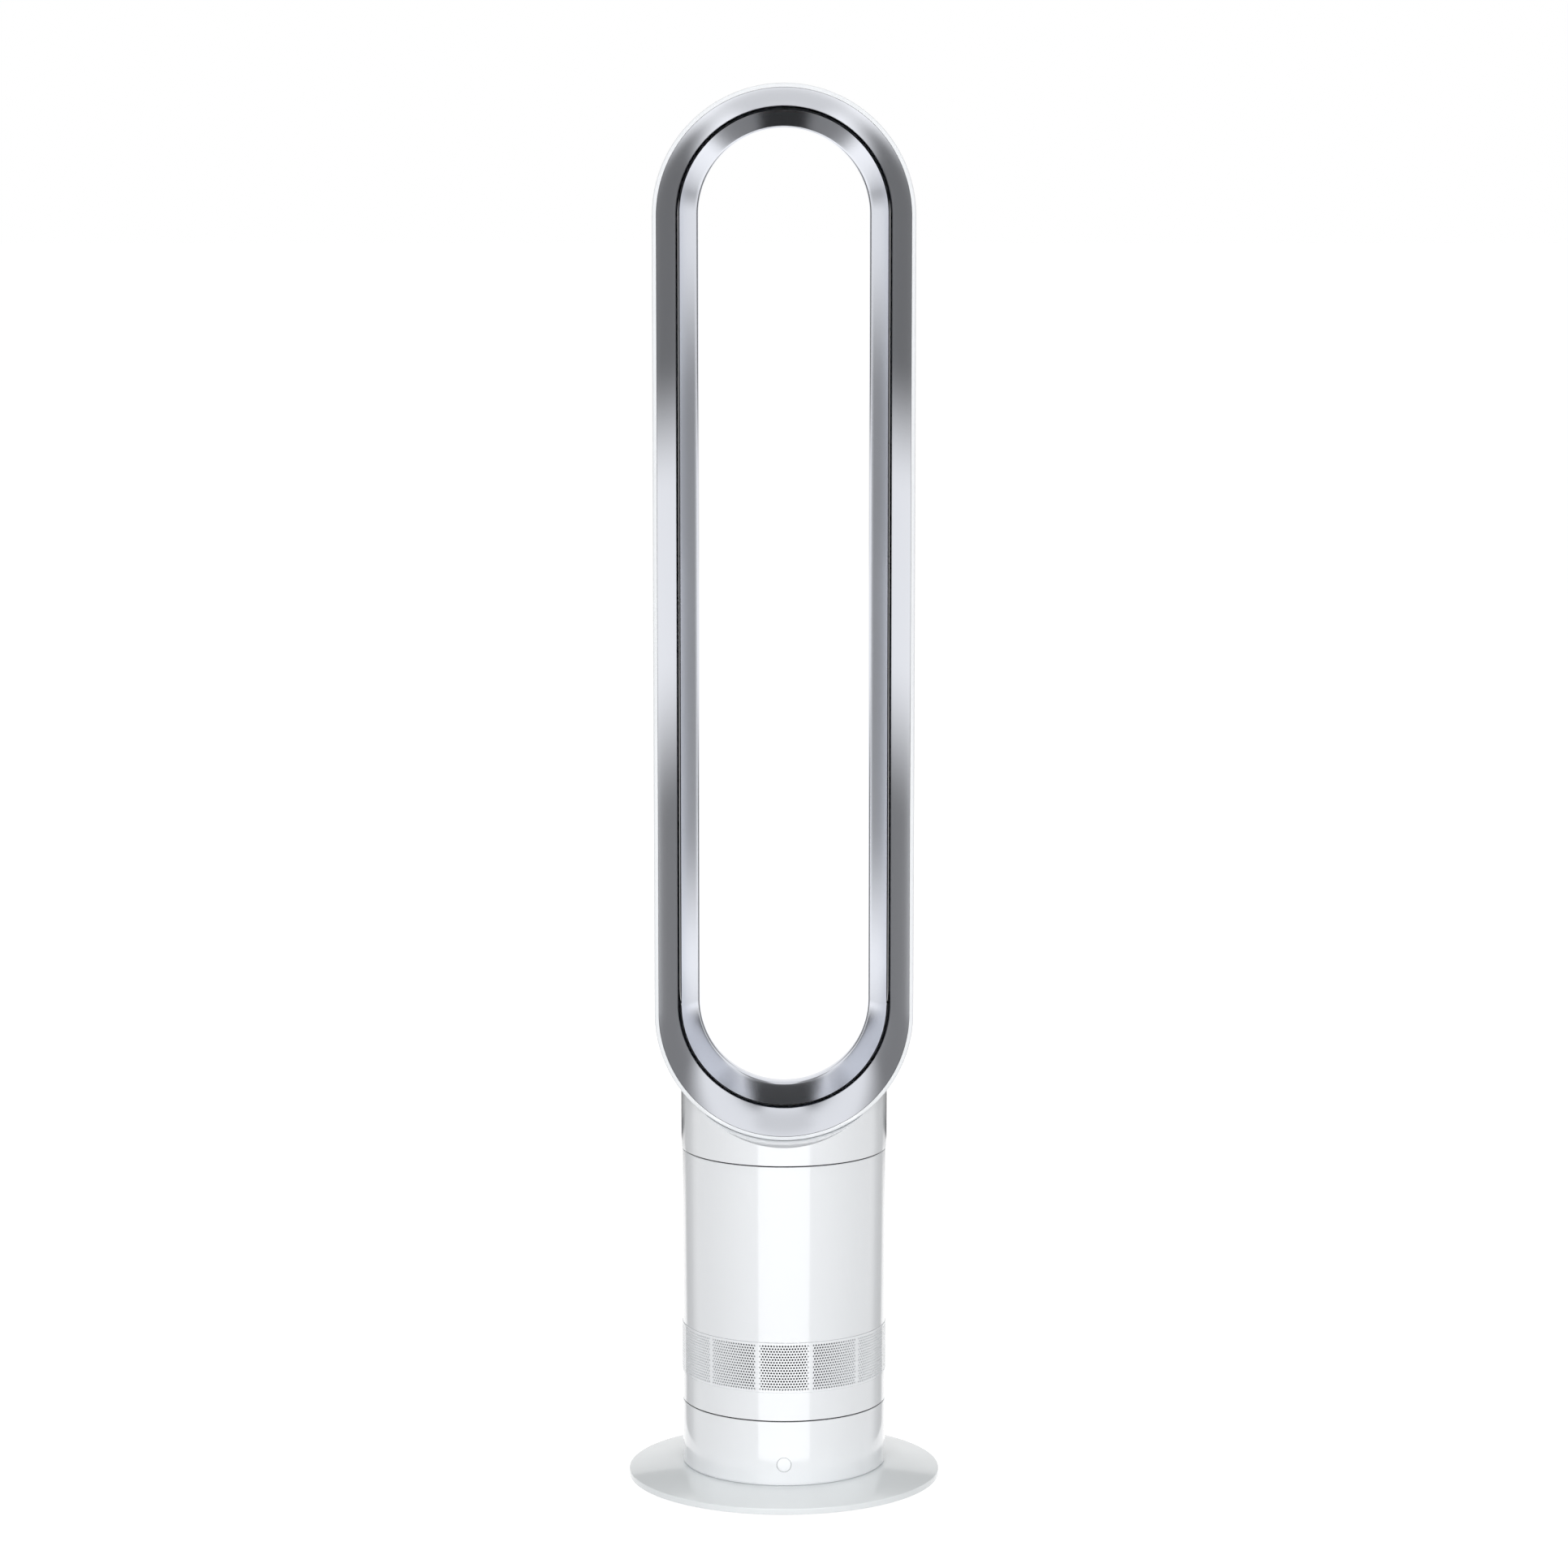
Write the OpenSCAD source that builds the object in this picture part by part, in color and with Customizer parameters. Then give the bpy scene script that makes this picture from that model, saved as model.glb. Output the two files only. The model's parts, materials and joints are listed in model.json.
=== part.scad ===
// Tall bladeless fan: a racetrack air loop on a cylindrical tower that swivels on a round base.
// Millimetres, +Z up, front towards -Y, origin on the floor under the tower's axis.

/* [Stand plate] */
// Radius of the round stand plate
plate_r = 114; // [95:1:150]
// Height of the plate's upright rim
plate_rim_h = 4.4; // [3.8:0.1:8]
// Rise of the plate's conical top from rim to tower
plate_rise = 5.8; // [5:0.1:9]
// Wall of the plate's moulding
plate_wall = 2.2; // [1.6:0.1:2.6]
// Width of the upright rim's moulding
plate_rim_w = 3; // [2:0.5:6]
// Height of the rubber feet below the plate
foot_proud = 1; // [0.6:0.1:3]
// Radius of one rubber foot
foot_r = 7; // [5:0.5:9]
// Number of rubber feet
foot_count = 6; // [3:1:10]
// Thickness of the steel ballast plate
ballast_t = 2.4; // [1:0.1:2.8]

/* [Lower housing] */
// Outer radius of the tower's cylinder
body_r = 74.4; // [70:0.2:86]
// Wall of the tower's mouldings
body_wall = 2.4; // [1.8:0.1:3]
// Height of the lower housing
lower_h = 47.2; // [46:0.2:70]
// Height of the shadow gaps between the housings
seam_gap = 1; // [0.6:0.1:2]
// Depth of the shadow gaps
seam_depth = 1.2; // [0.6:0.1:1.6]
// Floor thickness of the housings
floor_t = 2.4; // [1.8:0.1:3.5]

/* [Push button] */
// Radius of the round push button
button_r = 5.2; // [4:0.1:7]
// Height of the button's centre above the stand plate
button_rise = 15.5; // [14:0.1:18]
// How far the button stands proud
button_proud = 0.3; // [0:0.1:1]
// Travel of the button
button_travel = 1; // [0.4:0.1:1.2]

/* [Swivel] */
// Distance of the ring gear's pitch line inside the housing's wall
gear_inset = 12; // [11:0.5:16]
// Teeth of the ring gear under the turntable
ring_teeth = 80; // [76:1:82]
// Teeth of the drive pinion
pinion_teeth = 16; // [14:1:18]
// Outer radius of the turntable's hollow spigot, as a share of the housing's inner radius
spigot_share = 0.264; // [0.24:0.002:0.28]
// Thickness of the turntable disc
turntable_t = 4; // [3:0.1:5]
// Height of the gears' teeth along the axis
gear_w = 5; // [4:0.1:6]
// Thickness of the bearing plate
bearing_plate_t = 3; // [2.4:0.1:4]

/* [Main housing] */
// Height of the tower between the two shadow gaps
main_h = 186.9; // [180:0.1:240]
// Height of the perforated band's lower edge above the lower shadow gap
grille_rise = 20.6; // [18:0.1:30]
// Height of the perforated band
grille_h = 37; // [30:1:45]
// How far the band stands proud of the housing
grille_proud = 0.4; // [0.2:0.1:1]
// Panels in the perforated band
grille_panels = 12; // [8:1:16]
// Rows of holes in one panel
grille_rows = 6; // [3:1:8]
// Holes in a long row of one panel
grille_cols = 6; // [3:1:8]
// Diameter of one hole
grille_hole_d = 3.2; // [2:0.1:3.6]

/* [Loop] */
// Outer half width of the loop
loop_r = 93.05; // [88:0.05:110]
// Length of the loop's straight sides
loop_straight = 570; // [200:10:700]
// Depth of the loop from front to back
loop_depth = 108; // [100:1:116]
// Distance of the loop's front plane in front of the axis
loop_front = 51; // [48:1:60]
// Distance from the upper shadow gap to the loop's lowest point
loop_rise = 13.6; // [12:0.1:30]
// Wall of the loop's mouldings
loop_wall = 2; // [1.6:0.1:2.4]
// Width of the white rim at the front of the loop
rim_w = 2.9; // [2.4:0.1:4]
// Radius of the air slot from the loop's centre line
slot_r = 75; // [72:0.5:78]
// Depth of the air slot behind the front plane
slot_v = 39; // [34:0.5:44]
// Radius of the narrowest part of the opening
throat_r = 61.3; // [56:0.5:66]
// Depth of the narrowest part behind the front plane
throat_v = 62; // [60:1:78]
// Length of the flat bevel between the slot and the narrowest part, as a share of the way to it
bevel_share = 0.86; // [0.7:0.02:0.92]
// Length of the straight legs on the throat's two arches
throat_leg_l = 30; // [15:5:60]
// Radius of the loop's rear edge
nose_r = 77; // [74:0.5:80]
// Width of the air slot
slot_w = 1.3; // [0.8:0.1:2]
// How far the collar stands proud of the housing
collar_proud = 0.7; // [0.2:0.1:1]

/* [Blower] */
// Radius of the impeller at its outlet, as a share of the housing's inner radius
impeller_r_share = 0.778; // [0.70:0.002:0.79]
// Height of the impeller, as a share of the room for the blower
impeller_h_share = 0.286; // [0.24:0.002:0.30]
// Blades on the impeller
blade_count = 9; // [5:1:13]
// Radius of the motor bucket, as a share of the housing's inner radius
bucket_r_share = 0.556; // [0.50:0.002:0.58]
// Height of the motor bucket's lower half, as a share of the room for the blower
bucket_h_share = 0.381; // [0.36:0.002:0.40]
// Radius of the motor shaft
shaft_r = 2.5; // [2:0.1:3]
// Vanes of the diffuser
vane_count = 9; // [5:1:13]
// Radius of the stator's core, as a share of the bucket's radius
stator_share = 0.65; // [0.58:0.01:0.68]

/* [Hidden] */

// Colours as the photograph shows them, and plain ones for what it hides
white_plastic = [0.93, 0.94, 0.95];
silver = [0.62, 0.64, 0.69];
dark_plastic = [0.16, 0.17, 0.18];
rubber_black = [0.08, 0.08, 0.09];
steel = [0.72, 0.73, 0.75];
board_green = [0.10, 0.35, 0.20];
foam_grey = [0.35, 0.36, 0.38];
copper = [0.72, 0.42, 0.24];
acetal = [0.88, 0.86, 0.80];

// Curve counts
round_fn = 96;
small_fn = 32;

// Clearances
over = 1;             // overrun of every cut
run_gap = 0.3;        // between pieces that turn past each other
part_gap = 0.2;       // between pieces that are assembled
shaft_gap = 0.05;     // running fit of shafts and pins
slide_gap = 0.2;      // round the push button

// Fasteners
screw_r = 1.5;
screw_head_r = 2.9;
screw_head_h = 1.8;
boss_r = 4;
plate_screw_r = 2;
plate_screw_head_r = 3.6;

// Heights of the stand plate
plate_z = foot_proud;
rim_z = plate_z + plate_rim_h;
plate_top_z = rim_z + plate_rise;
plate_chamfer = 0.5;
cover_t = 1.4;
foot_recess = 0.7;
foot_margin = 1;
foot_ring_r = plate_r - plate_rim_w - foot_r - foot_margin;
ballast_inner_r = 22;
ballast_margin = 10;
ballast_r = plate_r - plate_rim_w - ballast_margin;
cover_r = plate_r - plate_rim_w - part_gap;
plate_slope = plate_rise / (plate_r - body_r);
inner_r = body_r - body_wall;
plate_screw_ring_share = 0.694;
plate_screw_ring_r = plate_screw_ring_share * inner_r;
plate_screw_angle = 45;
plate_screw_count = 4;

// Heights of the lower housing
lower_z = plate_top_z;
lower_top_z = lower_z + lower_h;
lower_floor_z = lower_z + floor_t;
button_z = lower_z + button_rise;
floor_boss_h = 8;
main_z = lower_top_z + seam_gap;
turntable_r = inner_r - 2 * run_gap;
turntable_z = main_z - turntable_t;

// Swivel
ring_pitch_r = inner_r - gear_inset;
gear_module = 2 * ring_pitch_r / ring_teeth;
pinion_pitch_r = gear_module * pinion_teeth / 2;
gear_centre_r = ring_pitch_r - pinion_pitch_r;
pinion_angle = 30;
tower_screw_count = 3;
tower_screw_angle = pinion_angle - 180 / tower_screw_count;
tower_screw_inset = 10;
tower_screw_ring_r = ring_pitch_r - tower_screw_inset;
tooth_addendum = 0.9;       // in modules
tooth_dedendum = 1.25;      // in modules
tooth_share = 0.44;         // tooth width as a share of the pitch
tooth_tip_share = 0.45;     // tip width as a share of the width at the pitch line
tooth_root_share = 1.55;    // root width as a share of the width at the pitch line
ring_gear_wall = 4;
ring_gear_r = ring_pitch_r + tooth_dedendum * gear_module + ring_gear_wall;
gear_z = turntable_z - gear_w;
glide_t = 1.3;
bearing_plate_top = gear_z - part_gap - glide_t;
bearing_plate_z = bearing_plate_top - bearing_plate_t;
bearing_plate_r = inner_r - part_gap;
bearing_boss_ring_r = inner_r - 2 * boss_r;
spigot_r = spigot_share * inner_r;
bearing_boss_angle = 70;
bearing_boss_count = 4;
bush_t = 2.4;
bush_r = spigot_r + shaft_gap + bush_t;
bush_flange = 3;
bush_flange_t = 1;
spigot_wall = 2.6;
spigot_hole_r = spigot_r - spigot_wall;
washer_t = 1;
washer_w = 6;
clip_t = 1.2;
clip_w = 3;
clip_depth = 1.2;
clip_gap_w = 6;
spigot_end = 2;
washer_z = bearing_plate_z - part_gap - washer_t;
clip_z = washer_z - part_gap - clip_t;
spigot_z = clip_z - spigot_end;

// Oscillation motor
motor_share = 0.236;        // of the housing's inner radius
motor_r = motor_share * inner_r;
motor_h = 16;
motor_flange_t = 0.8;
motor_ear_r = motor_r + boss_r;
motor_ear_hole_r = 3.5;
motor_neck_share = 0.9;     // half width between the ears, of an ear's radius
motor_boss_r = 4.5;
pinion_shaft_r = 2.5;
motor_top = bearing_plate_z;
motor_z = motor_top - motor_h;

// Push button and its switch
button_flange = 1.1;
button_flange_t = 1.2;
guide_wall = 1.8;
guide_depth = 7;
button_stem_r = 1.9;
button_seat_step = 1.4;
button_seat = body_wall + button_seat_step;
button_flange_y = body_r - button_seat;
plunger_r = 1.7;
plunger_l = 3.6;
stem_l = 2.2;
switch_w = 6.2;
board_t = 1.6;
button_board_w = 24;
button_board_h = 24;
stem_end_y = button_flange_y - button_flange_t - stem_l;
switch_room_share = 0.8;    // room behind the stem, of the board's thickness
switch_y = stem_end_y - button_travel - switch_room_share * board_t;
plunger_clear = 0.2;

// Power inlet
socket_w = 13;
socket_h = 11;
socket_l = 14;
socket_bore_r = 3.1;
socket_pin_r = 1;
socket_mouth_r = 4.6;
socket_depth = 10;
socket_recess = 4;
socket_window_l = 5 * body_wall;
socket_z = lower_floor_z + socket_h / 2;
socket_face_y = body_r - socket_recess;

// Control board
control_w_share = 0.639;    // of the housing's inner radius
control_l_share = 1.083;
control_w = control_w_share * inner_r;
control_l = control_l_share * inner_r;
control_rise = 6;
control_x = -4;
control_y = -4;
standoff_r = 2.6;
standoff_inset = 4;

// Main housing
grille_z = main_z + grille_rise;
grille_top_z = grille_z + grille_h;
main_top_z = main_z + main_h;
grille_r = body_r + grille_proud;
grille_inner_r = body_r - body_wall / 2;
spigot_ring_r = grille_inner_r - part_gap;
inlet_ring_wall = 2.2;
inlet_inner_r = spigot_ring_r - inlet_ring_wall;
inlet_socket_h = 8;
window_margin = 2;
window_rib_deg = 4;
panel_deg = 360 / grille_panels;
hole_margin = 2.4;
foam_t = 10;
foam_gap = 0.3;
lower_foam_r = inner_r - foam_t - boss_r;
lower_foam_inner_r = spigot_r + foam_t / 2;
upper_foam_w = 11;
upper_foam_share = 0.17;    // height, as a share of the room for the blower

// Ring and lugs of the collar, which bound the blower's room
collar_z = main_top_z + seam_gap;
collar_ring_h = 9;
lug_t = 2;
lug_ledge_z = collar_z - collar_ring_h - part_gap - lug_t;
lug_bottom_z = lug_ledge_z - part_gap - lug_t;

// Blower
inlet_clear = 4;
impeller_z = grille_top_z + inlet_socket_h + inlet_clear;
blower_room = lug_bottom_z - impeller_z;
impeller_h = impeller_h_share * blower_room;
upper_foam_h = upper_foam_share * blower_room;
hub_r = 9;
hub_top_z = impeller_z + impeller_h;
hub_back_t = 2;
hub_boss_r = 6;
impeller_r = impeller_r_share * inner_r;
eye_share = 0.75;           // of the impeller's radius
eye_r = eye_share * impeller_r;
impeller_ring_t = 1.6;
blade_t = 1.4;
blade_curve_share = 0.82;   // of the impeller's radius
blade_curve_r = blade_curve_share * impeller_r;
blade_sweep = 32;
shroud_gap = 1;
shroud_wall = 2;
shroud_margin = 1.2;
shroud_r = impeller_r + impeller_ring_t / 2 + shroud_gap + shroud_wall + shroud_margin;
ring_drop_share = 0.36;
impeller_ring_z = hub_top_z - impeller_h * ring_drop_share;
shroud_inner_r = shroud_r - shroud_wall;
bell_lip = 6;
bell_steps = 5;
bell_z = impeller_z - bell_lip;
bucket_clear = 3;
bucket_z = hub_top_z + bucket_clear;
bucket_r = bucket_r_share * inner_r;
bucket_h = bucket_h_share * blower_room;
bucket_wall = 2;
bucket_top_z = bucket_z + bucket_h;
bucket_cap_share = 0.6;     // of the lower half's height
bucket_cap_h = bucket_cap_share * bucket_h;
dome_steps = 8;
bearing_outer_r = 8;
bearing_w = 5;
bearing_seat_wall = 2;
lower_bearing_z = bucket_z + bucket_wall;
stator_r = stator_share * bucket_r;
stator_h_share = 0.35;      // of the bucket's height
stator_h = stator_h_share * bucket_h;
stack_gap = 4;              // between bearings, stator and driver board
stator_z = lower_bearing_z + bearing_w + stack_gap;
stator_bore_r = stator_r / 2;
stator_tooth_w = 5;
stator_yoke = 4;
stator_slots = 6;
rotor_gap = 0.6;
rotor_r = stator_bore_r - rotor_gap;
upper_bearing_z = stator_z + stator_h + stack_gap;
spider_t = 3;
spider_w = 8;
bridge_post_ring_r = bucket_r / 2;
bridge_post_r = 2.2;
shaft_inset = 4;
shaft_proud = 1;
shaft_bottom_z = impeller_z + shaft_inset;
shaft_top_z = upper_bearing_z + bearing_w + shaft_proud;
diffuser_start_share = 0.35;    // of the bucket's height
diffuser_h_share = 0.55;
diffuser_z = bucket_z + diffuser_start_share * bucket_h;
diffuser_h = diffuser_h_share * bucket_h;
sleeve_t = 1.6;
diffuser_inner_r = bucket_r + part_gap;
diffuser_outer_r = shroud_inner_r - part_gap;
vane_t = 1.4;
vane_lean = 26;
shroud_over_bucket = 6;
shroud_top_z = bucket_top_z + shroud_over_bucket;
flange_t = 2.5;
flange_inset = 1.5;
flange_r = inner_r - flange_inset;
ledge_gap = 1;
ledge_w = inner_r - shroud_r - ledge_gap;
mount_h = 6;
mount_share = 0.4;          // of the ledge's width
mount_r = mount_share * ledge_w;
mount_count = 3;
ledge_t = 2.4;
ledge_z = shroud_top_z - mount_h - ledge_t;
driver_board_share = 0.75;  // of the bucket's radius
driver_board_r = driver_board_share * bucket_r;
driver_board_z = upper_bearing_z + bearing_w + stack_gap;
driver_board_bore = 2;      // round the shaft
cap_screw_count = 3;
cap_screw_angle = 60;
cap_boss_share = 0.85;      // of a boss's radius, clear of the bucket's wall
cap_screw_ring_r = bucket_r - bucket_wall - cap_boss_share * boss_r;
cap_seat_z = bucket_top_z - 3 * boss_r;

// Collar and loop
collar_r = body_r + collar_proud;
collar_inner_r = inner_r - part_gap;
collar_ring_wall = 2.2;
lug_count = 3;
lug_deg = 16;
lug_angle = 90;
loop_gap = 0.2;
arc_z = collar_z + loop_rise + loop_r;
loop_top_arc_z = arc_z + loop_straight;
saddle_r = loop_r + loop_gap;
skin_t = 2.4;
shell_side_share = 0.70;    // how far the shell's side runs straight, of the depth
seal_w = 3;
neck_margin = 0.6;          // from the seal to the rear end of that straight side
inlet_w = 68;
inlet_l_share = 0.407;      // of the loop's depth
inlet_l = inlet_l_share * loop_depth;
inlet_y = shell_side_share * loop_depth - loop_front - seal_w - neck_margin - inlet_l / 2;
neck_wall = 1.8;
neck_gap = 0.3;
neck_h = 12;
seal_t = 1.5;
loop_screw_x = 50;
loop_screw_inset = 7;
loop_screw_y = inlet_l / 2 - loop_screw_inset;
loop_boss_h = 9;
lug_leg_r = inner_r - lug_t - part_gap;
loop_seat_z = arc_z - sqrt(pow(saddle_r + skin_t, 2) - pow(loop_screw_x - boss_r, 2));

// Shares of the loop's outline, chosen by eye from the photograph
shell_shoulder_share = 0.92;    // control point of the shell's rear bend, of the depth
flare_bow_share = 0.5;      // bow of the flare, in walls
rim_edge_r = 1.2;
flare_step = 0.6;
flare_steps = 8;
tail_steps = 3;
shell_steps = 8;
flare_flange_w = 3.4;
throat_steps = 10;
crest_steps = 5;
flare_wall_share = 0.8;     // thickness of the flare, in walls
throat_edge_h = 1.4 * loop_wall;    // straight rear edge of the throat
lip_block_l = 3 * loop_wall;        // thick part behind the lip
spacer_v = 1.6 * loop_wall;         // from the slot back to the spacers
tongue_w = 3 * loop_wall;           // tongues that join arches and sides
tongue_l = 2 * loop_wall;
tongue_gap = 0.3 * loop_wall;
spacer_w = 1.6;
spacer_count = 6;
arc_spacer_count = 3;

// Point on an arc that leaves a straight edge, for outlines
function arc_points(cx, cy, r, a0, a1, steps) =
    [for (i = [0 : steps]) [cx + r * cos(a0 + (a1 - a0) * i / steps),
                            cy + r * sin(a0 + (a1 - a0) * i / steps)]];

// Smooth curve through two ends with one control point
function bend_points(a, c, b, steps) =
    [for (i = [0 : steps]) let (t = i / steps)
        (1 - t) * (1 - t) * a + 2 * t * (1 - t) * c + t * t * b];

// A list without its first point
function rest_of(list) = [for (i = [1 : len(list) - 1]) list[i]];

function reverse(list) = [for (i = [len(list) - 1 : -1 : 0]) list[i]];

// Ring about the axis, from z to z + h
module ring(r_out, r_in, z, h, fn = round_fn) {
    translate([0, 0, z])
        difference() {
            cylinder(r = r_out, h = h, $fn = fn);
            translate([0, 0, -over])
                cylinder(r = r_in, h = h + 2 * over, $fn = fn);
        }
}

// Copies of a child on a circle
module around(count, r, start = 0) {
    for (i = [0 : count - 1])
        rotate([0, 0, start + 360 * i / count])
            translate([r, 0, 0])
                children();
}

// Sector of a ring, centred on the X axis
module sector(r_out, r_in, z, h, deg) {
    rotate([0, 0, -deg / 2])
        translate([0, 0, z])
            rotate_extrude(angle = deg, $fn = round_fn)
                translate([r_in, 0])
                    square([r_out - r_in, h]);
}

// Pan head screw with its head at the bottom, standing on z = 0
module screw_up(length, r = screw_r, head_r = screw_head_r) {
    cylinder(r = head_r, h = screw_head_h, $fn = small_fn);
    cylinder(r = r, h = screw_head_h + length, $fn = small_fn);
}

// Cylinder cut to the outside of the tower along -Y or +Y
module along_y(r, y0, y1, z, fn = small_fn) {
    translate([0, y0, z])
        rotate([-90, 0, 0])
            cylinder(r = r, h = y1 - y0, $fn = fn);
}

// Outline of one tooth, pointing along +X from radius r0 to radius r1, with its pitch line at rp
module tooth(r0, r1, rp, sign) {
    half = tooth_share * PI * gear_module / 2;
    base = sign > 0 ? half * tooth_root_share : half * tooth_tip_share;
    tip = sign > 0 ? half * tooth_tip_share : half * tooth_root_share;
    polygon([[r0, -base], [rp, -half], [r1, -tip], [r1, tip], [rp, half], [r0, base]]);
}

// Stand plate, hollow below
module base_plate() {
    color(white_plastic)
        difference() {
            rotate_extrude($fn = round_fn)
                polygon([
                    [0, plate_top_z],
                    [body_r, plate_top_z],
                    [plate_r - plate_chamfer, rim_z],
                    [plate_r, rim_z - plate_chamfer],
                    [plate_r, plate_z + plate_chamfer],
                    [plate_r - plate_chamfer, plate_z],
                    [plate_r - plate_rim_w, plate_z],
                    [plate_r - plate_rim_w, rim_z - plate_wall + plate_rim_w * plate_slope],
                    [body_r, plate_top_z - plate_wall],
                    [0, plate_top_z - plate_wall]
                ]);
            around(plate_screw_count, plate_screw_ring_r, plate_screw_angle)
                translate([0, 0, plate_top_z - plate_wall - over])
                    cylinder(r = plate_screw_r + part_gap, h = plate_wall + 2 * over, $fn = small_fn);
        }
}

// Cover under the stand plate, with shallow seats for the feet
module base_cover() {
    color(dark_plastic)
        difference() {
            translate([0, 0, plate_z])
                cylinder(r = cover_r, h = cover_t, $fn = round_fn);
            around(foot_count, foot_ring_r)
                translate([0, 0, plate_z - over])
                    cylinder(r = foot_r, h = foot_recess + over, $fn = small_fn);
            around(plate_screw_count, plate_screw_ring_r, plate_screw_angle)
                translate([0, 0, plate_z - over])
                    cylinder(r = plate_screw_head_r + part_gap, h = cover_t + 2 * over, $fn = small_fn);
        }
}

// Steel plate that keeps the tower from tipping
module ballast_plate() {
    color(steel)
        difference() {
            ring(ballast_r, ballast_inner_r, plate_z + cover_t, ballast_t);
            around(plate_screw_count, plate_screw_ring_r, plate_screw_angle)
                translate([0, 0, plate_z + cover_t - over])
                    cylinder(r = plate_screw_r + part_gap, h = ballast_t + 2 * over, $fn = small_fn);
        }
}

module rubber_feet() {
    color(rubber_black)
        around(foot_count, foot_ring_r)
            cylinder(r = foot_r, h = foot_proud + foot_recess, $fn = small_fn);
}

// Screws from below through ballast and plate into the lower housing
module plate_screws() {
    head_h = cover_t - 0.5 * foot_recess;
    top_z = lower_floor_z + floor_boss_h - over;
    color(steel)
        around(plate_screw_count, plate_screw_ring_r, plate_screw_angle) {
            translate([0, 0, plate_z + cover_t - head_h])
                cylinder(r = plate_screw_head_r, h = head_h, $fn = small_fn);
            translate([0, 0, plate_z + cover_t])
                cylinder(r = plate_screw_r, h = top_z - plate_z - cover_t, $fn = small_fn);
        }
}

// Short cylinder above the plate: button, inlet, boards and swivel sit in it
module lower_housing() {
    boss_top = bearing_plate_z;
    color(white_plastic)
        difference() {
            union() {
                rotate_extrude($fn = round_fn)
                    polygon([
                        [0, lower_z],
                        [body_r - seam_depth, lower_z],
                        [body_r - seam_depth, lower_z + seam_gap],
                        [body_r, lower_z + seam_gap],
                        [body_r, lower_top_z],
                        [inner_r, lower_top_z],
                        [inner_r, lower_floor_z],
                        [0, lower_floor_z]
                    ]);
                around(plate_screw_count, plate_screw_ring_r, plate_screw_angle)
                    translate([0, 0, lower_floor_z - floor_t / 2])
                        cylinder(r = boss_r, h = floor_t / 2 + floor_boss_h, $fn = small_fn);
                around(bearing_boss_count, bearing_boss_ring_r, bearing_boss_angle)
                    translate([0, 0, lower_floor_z - floor_t / 2])
                        cylinder(r = boss_r, h = boss_top - lower_floor_z + floor_t / 2, $fn = small_fn);
                for (sx = [-1, 1], sy = [-1, 1])
                    translate([control_x + sx * (control_w / 2 - standoff_inset),
                               control_y + sy * (control_l / 2 - standoff_inset),
                               lower_floor_z - floor_t / 2])
                        cylinder(r = standoff_r, h = floor_t / 2 + control_rise, $fn = small_fn);
                // guide of the push button, trimmed to the round wall
                intersection() {
                    along_y(button_r + button_flange + guide_wall + slide_gap,
                            -body_r, -body_r + guide_depth, button_z);
                    translate([0, 0, lower_floor_z - floor_t / 2])
                        cylinder(r = body_r - body_wall / 2, h = lower_h, $fn = round_fn);
                }
            }
            // button bore, and the wider bore behind it for its flange
            along_y(button_r + slide_gap, -body_r - over, -button_flange_y + over, button_z);
            along_y(button_r + button_flange + slide_gap,
                    -button_flange_y, -body_r + guide_depth + over, button_z);
            // window for the power inlet
            translate([-socket_w / 2 - part_gap, inner_r - socket_window_l, lower_floor_z + part_gap / 2])
                cube([socket_w + 2 * part_gap, 2 * socket_window_l, socket_h + part_gap]);
            around(plate_screw_count, plate_screw_ring_r, plate_screw_angle)
                translate([0, 0, lower_z - over])
                    cylinder(r = plate_screw_r + shaft_gap, h = floor_t + floor_boss_h + over - screw_r / 2,
                             $fn = small_fn);
            around(bearing_boss_count, bearing_boss_ring_r, bearing_boss_angle)
                translate([0, 0, boss_top - 2 * boss_r])
                    cylinder(r = screw_r + shaft_gap, h = 2 * boss_r + over, $fn = small_fn);
        }
}

// Round cap flush with the wall, a flange that keeps it in, and a stem
module power_button() {
    color(white_plastic) {
        intersection() {
            along_y(button_r, -body_r - over, -button_flange_y + button_flange_t / 2, button_z);
            translate([0, 0, lower_z])
                cylinder(r = body_r + button_proud, h = lower_h, $fn = round_fn);
        }
        along_y(button_r + button_flange, -button_flange_y + shaft_gap,
                -button_flange_y + button_flange_t, button_z);
        along_y(button_stem_r, -button_flange_y, -stem_end_y, button_z);
    }
}

module switch_plunger() {
    color(rubber_black)
        along_y(plunger_r, -stem_end_y, -stem_end_y + plunger_l, button_z);
}

// Switch body with the bore that the plunger sinks into
module tact_switch() {
    bore_end = -stem_end_y + plunger_l + button_travel + plunger_clear;
    color(dark_plastic)
        difference() {
            translate([-switch_w / 2, -switch_y, button_z - switch_w / 2])
                cube([switch_w, bore_end + switch_y + plunger_clear, switch_w]);
            along_y(plunger_r + plunger_clear, -switch_y - over, bore_end, button_z);
        }
}

module button_board() {
    back_y = -stem_end_y + plunger_l + button_travel + 2 * plunger_clear;
    color(board_green)
        translate([-button_board_w / 2, back_y, lower_floor_z])
            cube([button_board_w, board_t, button_board_h]);
}

module control_board() {
    color(board_green)
        translate([control_x - control_w / 2, control_y - control_l / 2, lower_floor_z + control_rise])
            cube([control_w, control_l, board_t]);
}

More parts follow.
